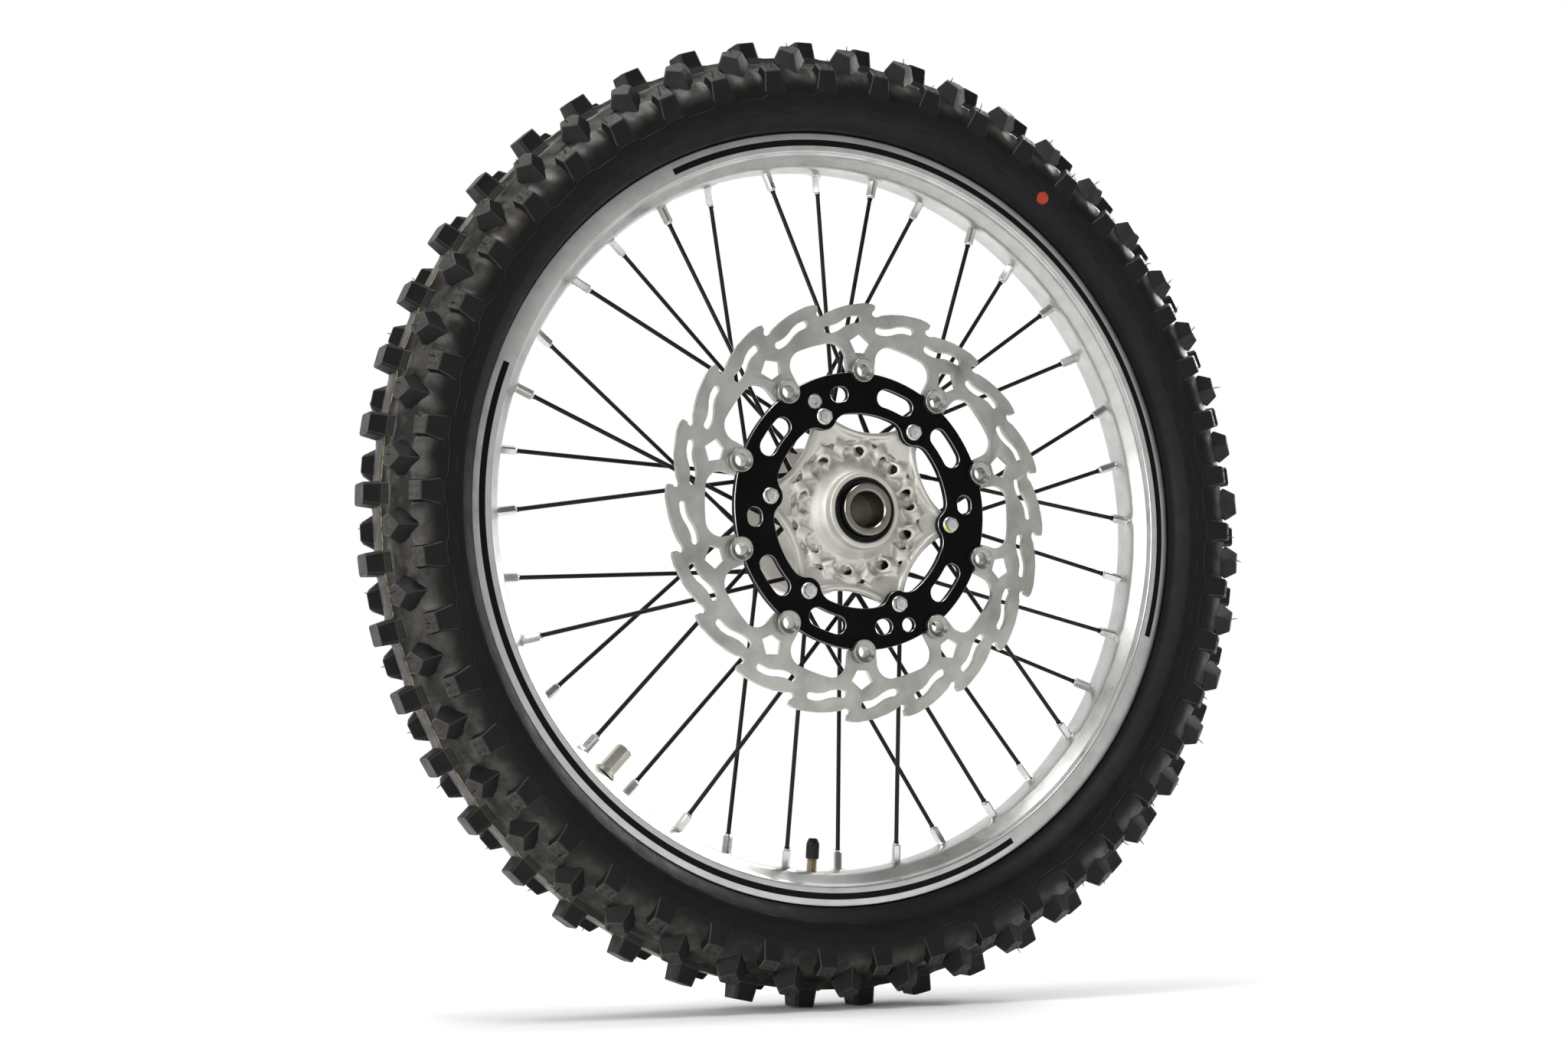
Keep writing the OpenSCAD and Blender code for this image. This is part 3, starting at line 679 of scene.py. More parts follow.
# the casing's outside from the bead to the crown, as (radius, side)
line = [(267, 14.2), (266.9, 19.6), (268.5, 20.1), (277, 20.1), (280.6, 20.8), (280.6, 24),
        (282.2, 31), (289.6, 38.6), (294.5, 40.8), (298, 41.6), (301.4, 41.95), (301.7, 42.3),
        (302.4, 42.3), (302.7, 42.0), (306, 42), (314, 40), (321, 35), (327, 27), (331.5, 18),
        (333.4, 13.6)]
flank = line[:5] + smooth_line(line[4:10], 6)[1:] + line[10:14]
crown = smooth_line(line[13:20], 9)[1:] + [(334.2, 12.6), (336.4, 11.4), (338.1, 10.6),
                                           (338.5, 9.8), (338.5, 5), (338.5, 0)]
near = flank + crown
outer = near + [(r, -w) for r, w in near[-2::-1]]
inner_half = [(325.5, 16), (321, 25), (315, 32), (306, 37.5), (297, 36.5), (289, 31), (282, 22),
              (275, 15), (270, 13)]
inner = [(r, -w) for r, w in inner_half[::-1]] + [(328, 0)] + inner_half
OUTER_COUNT = len(outer)
carcass = make("tyre_carcass", *revolve(outer + inner, PITCHES * 30, tread_floor), TYRE_LOOK,
               slot="tyre_rubber", smooth_deg=34)
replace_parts(carcass, "tyre")


def bevelled(points, faces, width, keep_below=None):
    """Breaks a small closed shape's edges, and marks the faces that this makes with 1.
    Edges wholly below a radius stay sharp."""
    bm = bmesh.new()
    verts = [bm.verts.new(p) for p in points]
    for face in faces:
        bm.faces.new([verts[i] for i in face])
    bmesh.ops.recalc_face_normals(bm, faces=bm.faces)
    chosen = [e for e in bm.edges
              if e.calc_face_angle(0) > 0.3
              and not (keep_below and max(v.co.length for v in e.verts) < keep_below * MM)]
    bmesh.ops.bevel(bm, geom=chosen, offset=width * MM, segments=1, affect="EDGES",
                    clamp_overlap=True, material=1)
    bm.verts.ensure_lookup_table()
    out = (np.array([v.co[:] for v in bm.verts]), [tuple(v.index for v in f.verts)
                                                  for f in bm.faces],
           [f.material_index for f in bm.faces])
    bm.free()
    return out


def quad(half_t, side_a, side_b, r_a, r_b):
    """Corners of a block outline: sides a and b across the tyre, each with its radius."""
    return [(r_a, -half_t, side_a), (r_b, -half_t, side_b), (r_b, half_t, side_b),
            (r_a, half_t, side_a)]


# inner and outer edge of the shoulder block's top, as (radius, side)
SHOULDER_TOP = ((TYRE_R - 23.2, 37.0), (TYRE_R - 29.8, SHOULDER_W - 0.05))


def centre_block():
    """A rectangular block with cut corners, tapering to its top."""
    cut = 1.6
    rows = [(331, 9.3, 13.3), (334.8, 8.9, 12.6), (338.4, 8.5, 10.9), (345, 8.0, 10.1),
            (TYRE_R, 7.5, 9.5)]
    loops = []
    for r, half_t, half_w in rows:
        loops.append([(r, -half_t + cut, -half_w), (r, half_t - cut, -half_w),
                      (r, half_t, -half_w + cut), (r, half_t, half_w - cut),
                      (r, half_t - cut, half_w), (r, -half_t + cut, half_w),
                      (r, -half_t, half_w - cut), (r, -half_t, -half_w + cut)])
    points, faces = loft(loops)
    return bevelled(to_frame(points), faces, 0.55, 336)


def shoulder_block():
    """A raked block with a flat top on the tyre's shoulder."""
    top_in, top_out = SHOULDER_TOP
    rows = [quad(9.8, 30.5, 40.4, 317, 301.5), quad(9.2, 33.0, 41.9, 320.5, 304),
            quad(7.2, 35.4, SHOULDER_W - 0.9, 325.2, 314.5),
            quad(6.4, top_in[1], top_out[1], top_in[0], top_out[0])]
    points, faces = loft(rows)
    return bevelled(to_frame(points), faces, 0.6, 312)


def pin_cups():
    """Four small round cups in the shoulder block's top."""
    inner_p, outer_p = np.array(SHOULDER_TOP)
    across = outer_p - inner_p
    normal = np.array([across[1], -across[0]]) / np.linalg.norm(across)
    cup = lathe([(1.1, -1.0), (1.1, 0.10), (0.8, 0.14), (0.7, -0.5), (0.3, -0.55)], 8)
    parts = []
    for f in (0.28, 0.72):
        for t in (-2.9, 2.9):
            r, w = inner_p + across * f
            parts.append(stand(cup, np.array([r, t, w]), np.array([normal[0], 0, normal[1]])))
    points, faces = gather(parts)
    return to_frame(points), faces


def side_knob():
    """A block with a cleft face that rises to an apex between centre and shoulder."""
    half = [(TYRE_R - 8, 5.5, 26.5), (TYRE_R - 11.2, 7.8, 31), (331.5, 13, 27), (329, 9, 22.5)]
    apex, tip = (TYRE_R - 16, 0, 36.3), (314.5, 0, 37.4)
    points = [q for p in half for q in (p, (p[0], -p[1], p[2]))] + [apex, tip]
    faces = [(0, 2, 8, 3, 1), (0, 1, 7, 6), (0, 6, 4), (0, 4, 2), (1, 5, 7), (1, 3, 5),
             (2, 4, 9), (2, 9, 8), (3, 9, 5), (3, 8, 9), (6, 7, 5, 9, 4)]
    return bevelled(to_frame(points), faces, 0.55, 331)


def flipped(part):
    """The same part on the far side of the wheel."""
    points, faces = part[:2]
    return (points * np.array([1, -1, 1]), [tuple(reversed(f)) for f in faces], *part[2:])


def spun(part, start):
    """Copies of a part at every tread pitch round the axis."""
    points, faces = part[:2]
    out = []
    for i in range(PITCHES):
        t = math.radians(start + i * PITCH_A)
        rot = np.array([[math.cos(t), 0, -math.sin(t)], [0, 1, 0], [math.sin(t), 0, math.cos(t)]])
        out.append((points @ rot.T, faces))
    return gather(out)


centre, shoulder, knob = centre_block(), shoulder_block(), side_knob()
kinds = [(centre, 0), (shoulder, 0), (flipped(shoulder), 0), (knob, 0.5), (flipped(knob), 0.5)]
# chamfer faces, marked 1, take the painted edge highlight
blocks = make("tread_blocks", *gather([spun(part, at * PITCH_A) for part, at in kinds]),
              KNOB_LOOK, slot="tyre_rubber", smooth_deg=12, second=EDGE_HIGHLIGHT_LOOK,
              marks=[mark for part, _ in kinds for mark in part[2] * PITCHES])
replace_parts(blocks, "tyre")
cups = pin_cups()
make("tread_pin_cups", *gather([spun(cups, 0), spun(flipped(cups), 0)]),
     SEAL_LOOK, slot="tyre_rubber", smooth_deg=40)


def vent_hairs():
    """Short moulding hairs standing on the shoulder and side blocks."""
    parts = []
    for i in range(PITCHES):
        for side in (1, -1):
            spots = ((TYRE_R - 27, i * PITCH_A + dice.uniform(-0.9, 0.9), 40.2),
                     (TYRE_R - 12, (i + 0.5) * PITCH_A + dice.uniform(-0.8, 0.8), 30))
            for r, a, w in spots:
                if dice.random() < 0.7:
                    base = place(r, a, side * w)
                    tip = place(r + dice.uniform(3.5, 7.5), a + dice.uniform(-0.4, 0.4),
                                side * (w + dice.uniform(-1, 2)))
                    length = (tip - base).length
                    hair = lathe([(0.45 * MM, 0), (0.36 * MM, length * 0.6), (0.2 * MM, length)], 6)
                    parts.append(stand(hair, base, tip - base))
    return gather(parts)


make("tyre_vent_hairs", *vent_hairs(), SEAL_LOOK, slot="tyre_rubber", smooth_deg=60)


# ---- Rim ----

rim_half = [(RIM_WELL_R, 0.0, 0), (RIM_WELL_R, 3.2, 2), (RIM_WELL_R + 0.35, 6.5, 3),
            (257, 10.5, 3), (261.5, 15.5, 2), (264.6, 19, 1.2), (265.2, 22.4, 0.8),
            (266.2, RIM_W, 0.5), (RIM_R - 1, RIM_W, 0.5), (RIM_R, 22.5, 0.5),
            (RIM_R - 0.3, 21.2, 0.4), (277.5, 20.35, 0.8), (268.6, 20.35, 0.6),
            (266.7, 19.7, 0.6), (266.3, 14, 1), (264.8, 12.5, 1), (260.5, 9.8, 2), (259, 7, 2)]
section = rounded(rim_half + [(p[0], -p[1], *p[2:]) for p in rim_half[:0:-1]], 0.6)


def dense(outline, low_r, step):
    """Adds points along the parts of a closed outline that lie inside a radius."""
    out = []
    for p, q in zip(outline, outline[1:] + outline[:1]):
        out.append(p)
        gap = math.hypot(q[0] - p[0], q[1] - p[1])
        if max(p[0], q[0]) < low_r and gap > step:
            n = int(gap / step)
            out += [(p[0] + (q[0] - p[0]) * s / (n + 1), p[1] + (q[1] - p[1]) * s / (n + 1))
                    for s in range(1, n + 1)]
    return out


def nipple_places():
    """Every nipple as (angle, side of its seat, spoke direction, head point)."""
    out = []
    for side in (1, -1):
        for outer_spoke in (True, False):
            shift = (0 if outer_spoke else 20) if side > 0 else (30 if outer_spoke else 10)
            for j in range(SPOKES_PER_GROUP):
                a = FIRST_NIPPLE_A + j * 360 / SPOKES_PER_GROUP + shift
                seat = place(NIPPLE_R, a, side * NIPPLE_W)
                head = place(HEAD_R, a + HEAD_LEAD_A[outer_spoke], side * HEAD_W[outer_spoke])
                out.append((a, side, outer_spoke, seat, head))
    return out


NIPPLES = nipple_places()


def rim_dimples(a, r, w):
    """Raises a soft boss on the rim's inner face round every nipple."""
    lift = np.zeros(r.shape)
    for angle, side, *_ in NIPPLES:
        t = np.radians((a - angle + 180) % 360 - 180) * RIM_WELL_R
        d2 = t * t + (w - side * (NIPPLE_W + 0.4)) ** 2
        lift += np.exp(-(np.sqrt(d2) / 6.2) ** 4)
    on_inside = np.clip((261 - r) / 3, 0, 1) * RIM_INSIDE
    return r - np.minimum(lift, 1) * on_inside, w


section = dense(section, 262, 1.2)
RIM_INSIDE = np.array([1.0 if p[0] < 258.2 else 0.0 for p in section])
rim = make("rim_band", *revolve(section, 1080, rim_dimples), RIM_LOOK, slot="rim_silver",
           smooth_deg=28)
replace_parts(rim, "rim")

nipple_parts = {1: [], -1: []}
for angle, side, outer_spoke, seat, head in NIPPLES:
    out_dir = np.array(seat - head) / MM
    loops = []
    for z, half, cut in ((1, 3.3, 1.5), (-2.2, 3.3, 1.5), (-2.8, 3.15, 1.5), (-3.6, 2.75, 0.9),
                         (-14.4, 2.75, 0.9), (-15, 2.4, 0.9)):
        s = half - cut
        loops.append([(half, -s, z), (half, s, z), (s, half, z), (-s, half, z),
                      (-half, s, z), (-half, -s, z), (-s, -half, z), (s, -half, z)])
    body = shell(np.array(loops) * MM)
    collar = lathe([(0.0041, 0.0008), (0.0042, -0.0008), (0.0036, -0.0017), (0.0031, -0.0025)], 24)
    neck = lathe([(0.0023, -0.0148), (0.0023, -0.0154), (0.0019, -0.016)], 20)
    turn = dice.uniform(0, math.pi / 2)
    nipple_parts[side] += [stand(body, seat, out_dir, turn), stand(collar, seat, out_dir),
                           stand(neck, seat, out_dir)]
for side, word in SIDES:
    piece = make(f"nipple_caps_{word}", *gather(nipple_parts[side]), NIPPLE_LOOK,
                 slot="nipple_silver", smooth_deg=30)
    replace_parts(piece, f"nipples_{word}")


# ---- Hub ----

# the casting's grid step, its spoke bosses and bores, and its star plate
HUB_STEP = 0.7
BORE_R = 3.5
BORE_DEPTH = 5.0
BOSS_R = {1: 5.8, -1: 5.0}
PLATE_INNER_R = 51.5
PLATE_W = (43.4, 47.2)
SCALLOP_R = 64
SCALLOP_AT_R = 121.5
RIB_INSET = 2.3
RIB_W = 46.2
RIB_R = 2.2
# its section as (radius, side): outside from the middle to the lip, then the bearing bore
hub_dish = [(50, 41.2), (46.5, 40.4), (42, 40.2), (38, 41.2), (34.6, 43.4)]
hub_outside = [(32, 0), (31.5, 20), (33, 30), (38, 33.5), (52, 34.8), (55.5, 38), (55.5, 43.6),
               (52.5, 43), *hub_dish, (31.8, 46.8), (29.6, 50.2), (27.9, 52.4), (27.2, 55),
               (26.4, 55.2)]
hub_inside = [(23.5, 55.2), (23.5, 43), (21.5, 43), (21.5, 34), (27, 30), (27, 0)]


def polygon_distance(px, py, outline):
    """Signed distance from points to a closed outline, negative inside."""
    best = np.full(px.shape, 1e9, np.float32)
    inside = np.zeros(px.shape, bool)
    for (x0, y0), (x1, y1) in zip(outline, outline[1:] + outline[:1]):
        ex, ey = x1 - x0, y1 - y0
        h = np.clip(((px - x0) * ex + (py - y0) * ey) / max(ex * ex + ey * ey, 1e-9), 0, 1)
        best = np.minimum(best, np.hypot(px - x0 - ex * h, py - y0 - ey * h))
        if y0 != y1:
            crosses = ((y0 > py) != (y1 > py)) & (px < (x1 - x0) * (py - y0) / (y1 - y0) + x0)
            inside ^= crosses
    return np.where(inside, -best, best)


def blend_in(field, other, soft):
    """Smooth union of two distance fields."""
    h = np.clip(0.5 + 0.5 * (field - other) / soft, 0, 1)
    return field * (1 - h) + other * h - soft * h * (1 - h)


def carve(field, other, soft):
    """Smooth cut of one field out of another."""
    return -blend_in(-field, other, soft)


def rod_distance(points, base, direction, start, end, radius):
    """Distance to a round rod along a direction."""
    rel = points - base
    along = rel @ direction
    off = np.linalg.norm(rel - along[..., None] * direction, axis=-1) - radius
    ends = np.maximum(start - along, along - end)
    return np.maximum(off, ends)


def surface_net(field, origin, step):
    """A mesh of the zero level of a grid of distances."""
    inside = field < 0
    n = np.array(field.shape) - 1
    count = sum(inside[i:n[0] + i, j:n[1] + j, k:n[2] + k].astype(np.int8)
                for i in (0, 1) for j in (0, 1) for k in (0, 1))
    cells = np.argwhere((count > 0) & (count < 8))
    total = np.zeros((len(cells), 3))
    hits = np.zeros(len(cells))
    corners = [np.array([i, j, k]) for i in (0, 1) for j in (0, 1) for k in (0, 1)]
    for p in corners:
        for axis in range(3):
            if p[axis]:
                continue
            q = p.copy()
            q[axis] = 1
            fp, fq = field[tuple((cells + p).T)], field[tuple((cells + q).T)]
            crossing = (fp < 0) != (fq < 0)
            f = np.where(crossing, fp / np.where(crossing, fp - fq, 1), 0)
            at = p + np.outer(f, q - p)
            total += at * crossing[:, None]
            hits += crossing
    points = (cells + total / hits[:, None]) * step + origin
    index = np.full(tuple(n), -1)
    index[tuple(cells.T)] = np.arange(len(cells))
    quads = []
    for axis in range(3):
        other = [i for i in range(3) if i != axis]
        lo = [slice(1, n[i]) if i in other else slice(0, n[i]) for i in range(3)]
        hi = [slice(1, n[i]) if i in other else slice(1, n[i] + 1) for i in range(3)]
        edge = inside[tuple(lo)] != inside[tuple(hi)]
        at = np.argwhere(edge) + np.array([1 if i in other else 0 for i in range(3)])
        u, v = np.eye(3, dtype=int)[other[0]], np.eye(3, dtype=int)[other[1]]
        quads.append(np.stack([index[tuple((at - a * u - b * v).T)]
                               for a, b in ((0, 0), (1, 0), (1, 1), (0, 1))], -1))
    return points, np.vstack(quads)


def turned_body(r, w, depth):
    """Distances to the hub's turned section, looked up from a fine table."""
    cell = 0.25
    section = hub_outside + hub_inside
    section += [(p[0], -p[1]) for p in section[::-1]]
    table_at = np.meshgrid(np.arange(0, 125, cell), np.arange(0, depth + 2, cell), indexing="ij")
    table = polygon_distance(*table_at, section)
    ri, wi = r[..., None] / cell, np.abs(w)[None, None, :] / cell
    r0, w0 = ri.astype(int), wi.astype(int)
    fr, fw = ri - r0, wi - w0
    field = ((table[r0, w0] * (1 - fw) + table[r0, w0 + 1] * fw) * (1 - fr)
             + (table[r0 + 1, w0] * (1 - fw) + table[r0 + 1, w0 + 1] * fw) * fr)
    return field.astype(np.float32)


def star_plate(x, z, r):
    """Distances across the wheel to the star plate's outline and to the ribs on its scallops."""
    plate = np.maximum(r - DISC_BOLT_R, PLATE_INNER_R - r)
    ribs = np.full(r.shape, 1e3)
    rib_end_r = DISC_BOLT_R - 4.5
    step = 360 / DISC_BOLTS
    for i in range(DISC_BOLTS):
        t = math.radians(DISC_BOLT_A + (i + 0.5) * step)
        away = np.hypot(x - SCALLOP_AT_R * math.cos(t), z - SCALLOP_AT_R * math.sin(t))
        plate = np.maximum(plate, SCALLOP_R - away)
        off = away - SCALLOP_R - RIB_INSET
        ribs = np.minimum(ribs, np.where(r < rib_end_r, np.abs(off), np.hypot(off, r - rib_end_r)))
    for i in range(DISC_BOLTS):
        t = math.radians(DISC_BOLT_A + i * step)
        away = np.hypot(x - DISC_BOLT_R * math.cos(t), z - DISC_BOLT_R * math.sin(t))
        plate = blend_in(plate, away - 9, 4)
    return plate, ribs


def hub_field():
    """Distances to the hub casting on a grid over X, Z and side, and every spoke head's bore."""
    span, depth = 83.5, 60
    gx = np.arange(-span, span + HUB_STEP, HUB_STEP, dtype=np.float32)
    gw = np.arange(-depth, depth + HUB_STEP, HUB_STEP, dtype=np.float32)
    x, z = np.meshgrid(gx, gx, indexing="ij")
    r = np.hypot(x, z)
    field = turned_body(r, gw, depth)
    plate, ribs = star_plate(x, z, r)
    w = gw[None, None, :]
    top = PLATE_W[1] - 3.4 * np.clip((66 - r) / 16, 0, 1) ** 1.3
    slab = np.maximum(PLATE_W[0] - w, w - top[..., None])
    slab = np.maximum(plate[..., None], slab)
    field = blend_in(field, slab, 2.5)
    top_rib = np.hypot(ribs[..., None], w - RIB_W) - RIB_R
    field = blend_in(field, top_rib.astype(np.float32), 1.2)
    field = np.maximum(field, w - 48 - 12 * (r[..., None] < 60))

    # bosses under the bolts and at the spoke heads, with their bores
    def local(centre, reach_mm):
        where = tuple(slice(np.searchsorted(g, c - reach_mm), np.searchsorted(g, c + reach_mm))
                      for g, c in zip((gx, gx, gw), centre))
        grid = np.stack(np.meshgrid(gx[where[0]], gx[where[1]], gw[where[2]], indexing="ij"), -1)
        return where, grid

    for i in range(DISC_BOLTS):
        t = math.radians(DISC_BOLT_A + i * 360 / DISC_BOLTS)
        base = np.array([DISC_BOLT_R * math.cos(t), DISC_BOLT_R * math.sin(t), 40])
        where, grid = local(base, 14)
        field[where] = blend_in(field[where], rod_distance(grid, base, np.array([0, 0, 1.0]),
                                                           -4, 5, 7), 2)
    cuts = []
    for _, side, outer_spoke, seat, head in NIPPLES:
        h = np.array([head.x, head.z, -head.y]) / MM
        d = np.array([(seat - head).x, (seat - head).z, -(seat - head).y])
        d /= np.linalg.norm(d)
        out = np.array([0, 0, side])
        if not outer_spoke:
            h = h + out * 4.4
        where, grid = local(h + d * 4, 24)
        boss = rod_distance(grid, h, d, -3.4, 8, BOSS_R[side])
        boss = np.maximum(boss, ((grid - h) @ (out * 0.75 - d * 0.66)) - 2.9)
        field[where] = blend_in(field[where], boss, 2.6)
        cuts.append((h, d))
    for h, d in cuts:
        where, grid = local(h, 16)
        field[where] = carve(field[where], rod_distance(grid, h, d, -5.2, BORE_DEPTH, BORE_R), 0.5)
    return field, np.array([-span, -span, -depth], float), cuts


def hub_marks(points):
    """Pushes out thin curved lines and small rings on the dish of the casting."""
    r = np.hypot(points[:, 0], points[:, 1])
    a = np.degrees(np.arctan2(points[:, 1], points[:, 0]))
    lift = np.zeros(len(points))
    floor_w = np.interp(r, *zip(*hub_dish[::-1]))
    on_dish = (np.exp(-((points[:, 2] - floor_w) / 0.5) ** 2) * np.clip((r - 35) / 2, 0, 1)
               * np.clip((46 - r) / 2, 0, 1))
    wave = (a + (r - 40) * 1.1) % 9 - 4.5
    lift += 0.3 * np.exp(-(np.radians(wave) * r / 0.55) ** 2) * on_dish
    for mark_a, mark_r in ((170, 50.5), (-142, 53), (-117, 50), (-38, 45), (73, 41)):
        t = math.radians(mark_a)
        away = np.hypot(points[:, 0] - mark_r * math.cos(t), points[:, 1] - mark_r * math.sin(t))
        lift += 0.4 * np.exp(-((away - 3.4) / 0.55) ** 2) * (points[:, 2] > 38)
    points[:, 2] += lift
    return points


def bore_faces(points, quads, bores):
    """Marks with 1 the faces that line a spoke head's bore, which take a dark painted shade."""
    middle = points[quads].mean(axis=1)
    marks = np.zeros(len(quads), int)
    for base, direction in bores:
        rel = middle - base
        along = rel @ direction
        off = np.linalg.norm(rel - np.outer(along, direction), axis=1)
        marks[(off < BORE_R + 0.1) & (along > -0.6) & (along < BORE_DEPTH + 1)] = 1
    return marks.tolist()


field, start, bores = hub_field()
hub_points, hub_quads = surface_net(field, start, HUB_STEP)
hub = make("hub_casting", to_frame(hub_marks(hub_points)), hub_quads.tolist(), HUB_LOOK,
           slot="hub_cast", smooth_deg=60, second=BORE_SHADE_LOOK,
           marks=bore_faces(hub_points, hub_quads, bores))
relax = hub.modifiers.new("relax", "SMOOTH")
relax.factor = 0.5
relax.iterations = 2
apply_modifiers(hub)
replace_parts(hub, "hub")

neck = [(23.5, 49.6, 0), (29.2, 49.6, 0), (28.1, 52.2, 1), (27.5, 55, 1), (27.2, 57.3, 0.5),
        (26.6, 58, 0.4), (23.9, 58, 0.3), (23.5, 57.6, 0)]
neck = rounded(neck, 0.5)
for side, word in SIDES:
    make(f"hub_neck_{word}", *revolve(on_side(neck, side)), HUB_LOOK, slot="hub_cast",
         smooth_deg=40)


# ---- Brake disc and carrier ----

softened("disc_rotor", "disc_rotor_plate", 0.3, DISC_LOOK, body="floating_disc")
softened("disc_carrier", "disc_carrier_plate", 0.35, CARRIER_LOOK, EDGE_LOOK,
         steps=1)


def across_wheel(part, r, a, turn=0.0):
    """Stands a part drawn about Z in millimetres across the wheel, pointing to the disc side."""
    points, faces = part
    return stand((points * MM, faces), place(r, a, 0), (0, -1, 0), turn)


def bobbin_ring(part):
    """Copies of a part at every bobbin."""
    return gather([across_wheel(part, BOBBIN_R, BOBBIN_A + i * 360 / BOBBINS)
                   for i in range(BOBBINS)])


bobbin = rounded([(4.3, 45.8, 0.3), (6, 45.8, 0.3), (6, 52.95, 0), (8.45, 52.95, 0.3),
                  (8.72, 53.6, 0.3), (8.72, 57.1, 0.3), (8.35, 57.75, 0.3), (7.7, 57.75, 0.2),
                  (7.5, 57.35, 0.1), (6.7, 57.2, 0.1), (6.55, 56.95, 0.1), (5.8, 56.7, 0.1),
                  (5.65, 56.45, 0.1), (4.5, 55.9, 0.3)], 0.3)
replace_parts(make("bobbin_buttons", *bobbin_ring(hollow(bobbin)),
                 TURNED_LOOK, slot="turned_steel", smooth_deg=12), "disc_bobbins")
washer = rounded([(6.06, 47.2), (8.4, 47.2), (8.4, 48), (6.06, 48)], 0.2)
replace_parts(make("bobbin_wave_washers", *bobbin_ring(hollow(washer)),
                 CLIP_LOOK, slot="turned_steel", smooth_deg=30), "bobbin_washers")


def bolt_part():
    """A flanged bolt with a chamfered hexagonal head and a shallow dished top."""
    shank = lathe([(2.6, 37), (2.9, 37.5), (2.9, 53)], 24)
    flange = lathe(rounded([(3, 53), (6, 53, 0.2), (6, 53.6, 0.4), (5.2, 54.5, 0.3), (3, 54.5)],
                           0.2, closed=False), 40)
    loops = []
    for z, size, chamfer in ((53.6, 5.0, 0), (56.6, 5.0, 0), (57.35, 5.0, 0.45), (57.5, 4.1, 0.9),
                             (57.5, 2.6, 0.9), (57.3, 2.3, 0.9)):
        radius = hex_radius(size)
        if chamfer:
            radius = np.minimum(radius, size * (0.985 - 0.11 * chamfer / 0.9))
        loops.append(ring(radius, z, HEX_STEPS))
    return gather([shank, flange, shell(loops)])


bolt = bolt_part()
bolts = [across_wheel(bolt, DISC_BOLT_R, DISC_BOLT_A + i * 360 / DISC_BOLTS, dice.uniform(0, 1.04))
         for i in range(DISC_BOLTS)]
disc_bolt_heads = make("disc_bolt_heads", *gather(bolts), BOLT_LOOK, slot="bolt_steel",
                       smooth_deg=16)
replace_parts(disc_bolt_heads, "disc_bolts")

# a dab of paint along the flange and side of one bolt, as three bent rows of points
DAB_R = 5.55
dab = [(math.radians(8 + i * 11), 0.9 + 0.25 * math.sin(i * 2.1)) for i in range(9)]
dab_rows = []
for share, z, rise in ((0.86, 53.9, 0), (1, 54.2, 0.5), (0.84, 54.9, 1)):
    dab_rows += [(share * DAB_R * math.cos(t), share * DAB_R * math.sin(t), z + rise * high)
                 for t, high in dab]
m = len(dab)
dab_faces = [(k * m + i, k * m + i + 1, (k + 1) % 3 * m + i + 1, (k + 1) % 3 * m + i)
             for k in range(3) for i in range(m - 1)]
dab_faces += [(0, m, 2 * m), (3 * m - 1, 2 * m - 1, m - 1)]
mark = across_wheel((np.array(dab_rows), dab_faces), DISC_BOLT_R, DISC_BOLT_A - 60)
make("bolt_paint_mark", *mark, MARK_LOOK, slot="bolt_steel", smooth_deg=50)

plug_outline = [(2.2, 48), (4.9, 48), (5.02, 48.3), (5.02, 52.6), (4.6, 53.15), (3.6, 53.15)]
plug_loops = [ring(r, z, HEX_STEPS) for r, z in plug_outline]
plug_loops += [ring(hex_radius(2.9), z, HEX_STEPS) for z in (53.15, 50.7)]
plug = across_wheel(shell(plug_loops), *MAGNET_AT)
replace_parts(make("sensor_plug", *plug, BOLT_LOOK, slot="bolt_steel", smooth_deg=28),
            "sensor_magnet")


# ---- Seals, spacers ----

seal_section = rounded([(23.5, 52.6), (23.5, 57.7, 0.4), (22.9, 57.95, 0.3), (21.9, 57.9, 0.4),
                        (21.3, 56.9, 0.5), (19.6, 56.9, 0.5), (18.92, 56.2, 0.4), (18.92, 54.6),
                        (19.9, 53.6), (22.3, 53.6), (22.3, 52.6)], 0.25)
spacer_section = rounded([(13, 43, 0), (14.98, 43), (14.98, 50), (17.9, 50), (18.8, 51),
                          (18.8, SPACER_END_W - 0.9, 0.5), (18.0, SPACER_END_W, 0.4),
                          (14.3, SPACER_END_W, 0.3), (13, SPACER_END_W - 1.2, 0.3)], 0.3)
for side, word in SIDES:
    lips = make(f"seal_lip_{word}", *revolve(on_side(seal_section, side)), SEAL_LOOK,
                slot="seal_rubber", smooth_deg=40)
    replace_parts(lips, f"seal_{word}")
    sleeve = make(f"spacer_sleeve_{word}", *revolve(on_side(spacer_section, side)),
                  SPACER_LOOK, body="axle_set", slot="bearing_steel", smooth_deg=35)
    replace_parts(sleeve, f"spacer_{word}")


# ---- Valve and rim lock ----


def inward(part, a, r):
    """Stands a part drawn about Z in millimetres on the rim at an angle, pointing at the axis."""
    points, faces = part
    base = place(r, a, 0)
    return stand((points * MM, faces), base, -base)


def thread(radius, start, end, pitch, depth):
    """A round stem whose surface rises and falls like a fine thread."""
    rows = []
    z = start
    while z < end:
        rows += [(radius - depth, z), (radius, z + pitch * 0.5)]
        z += pitch
    return lathe([(radius - depth, start - 0.2), *rows, (radius - depth, end)], 28)


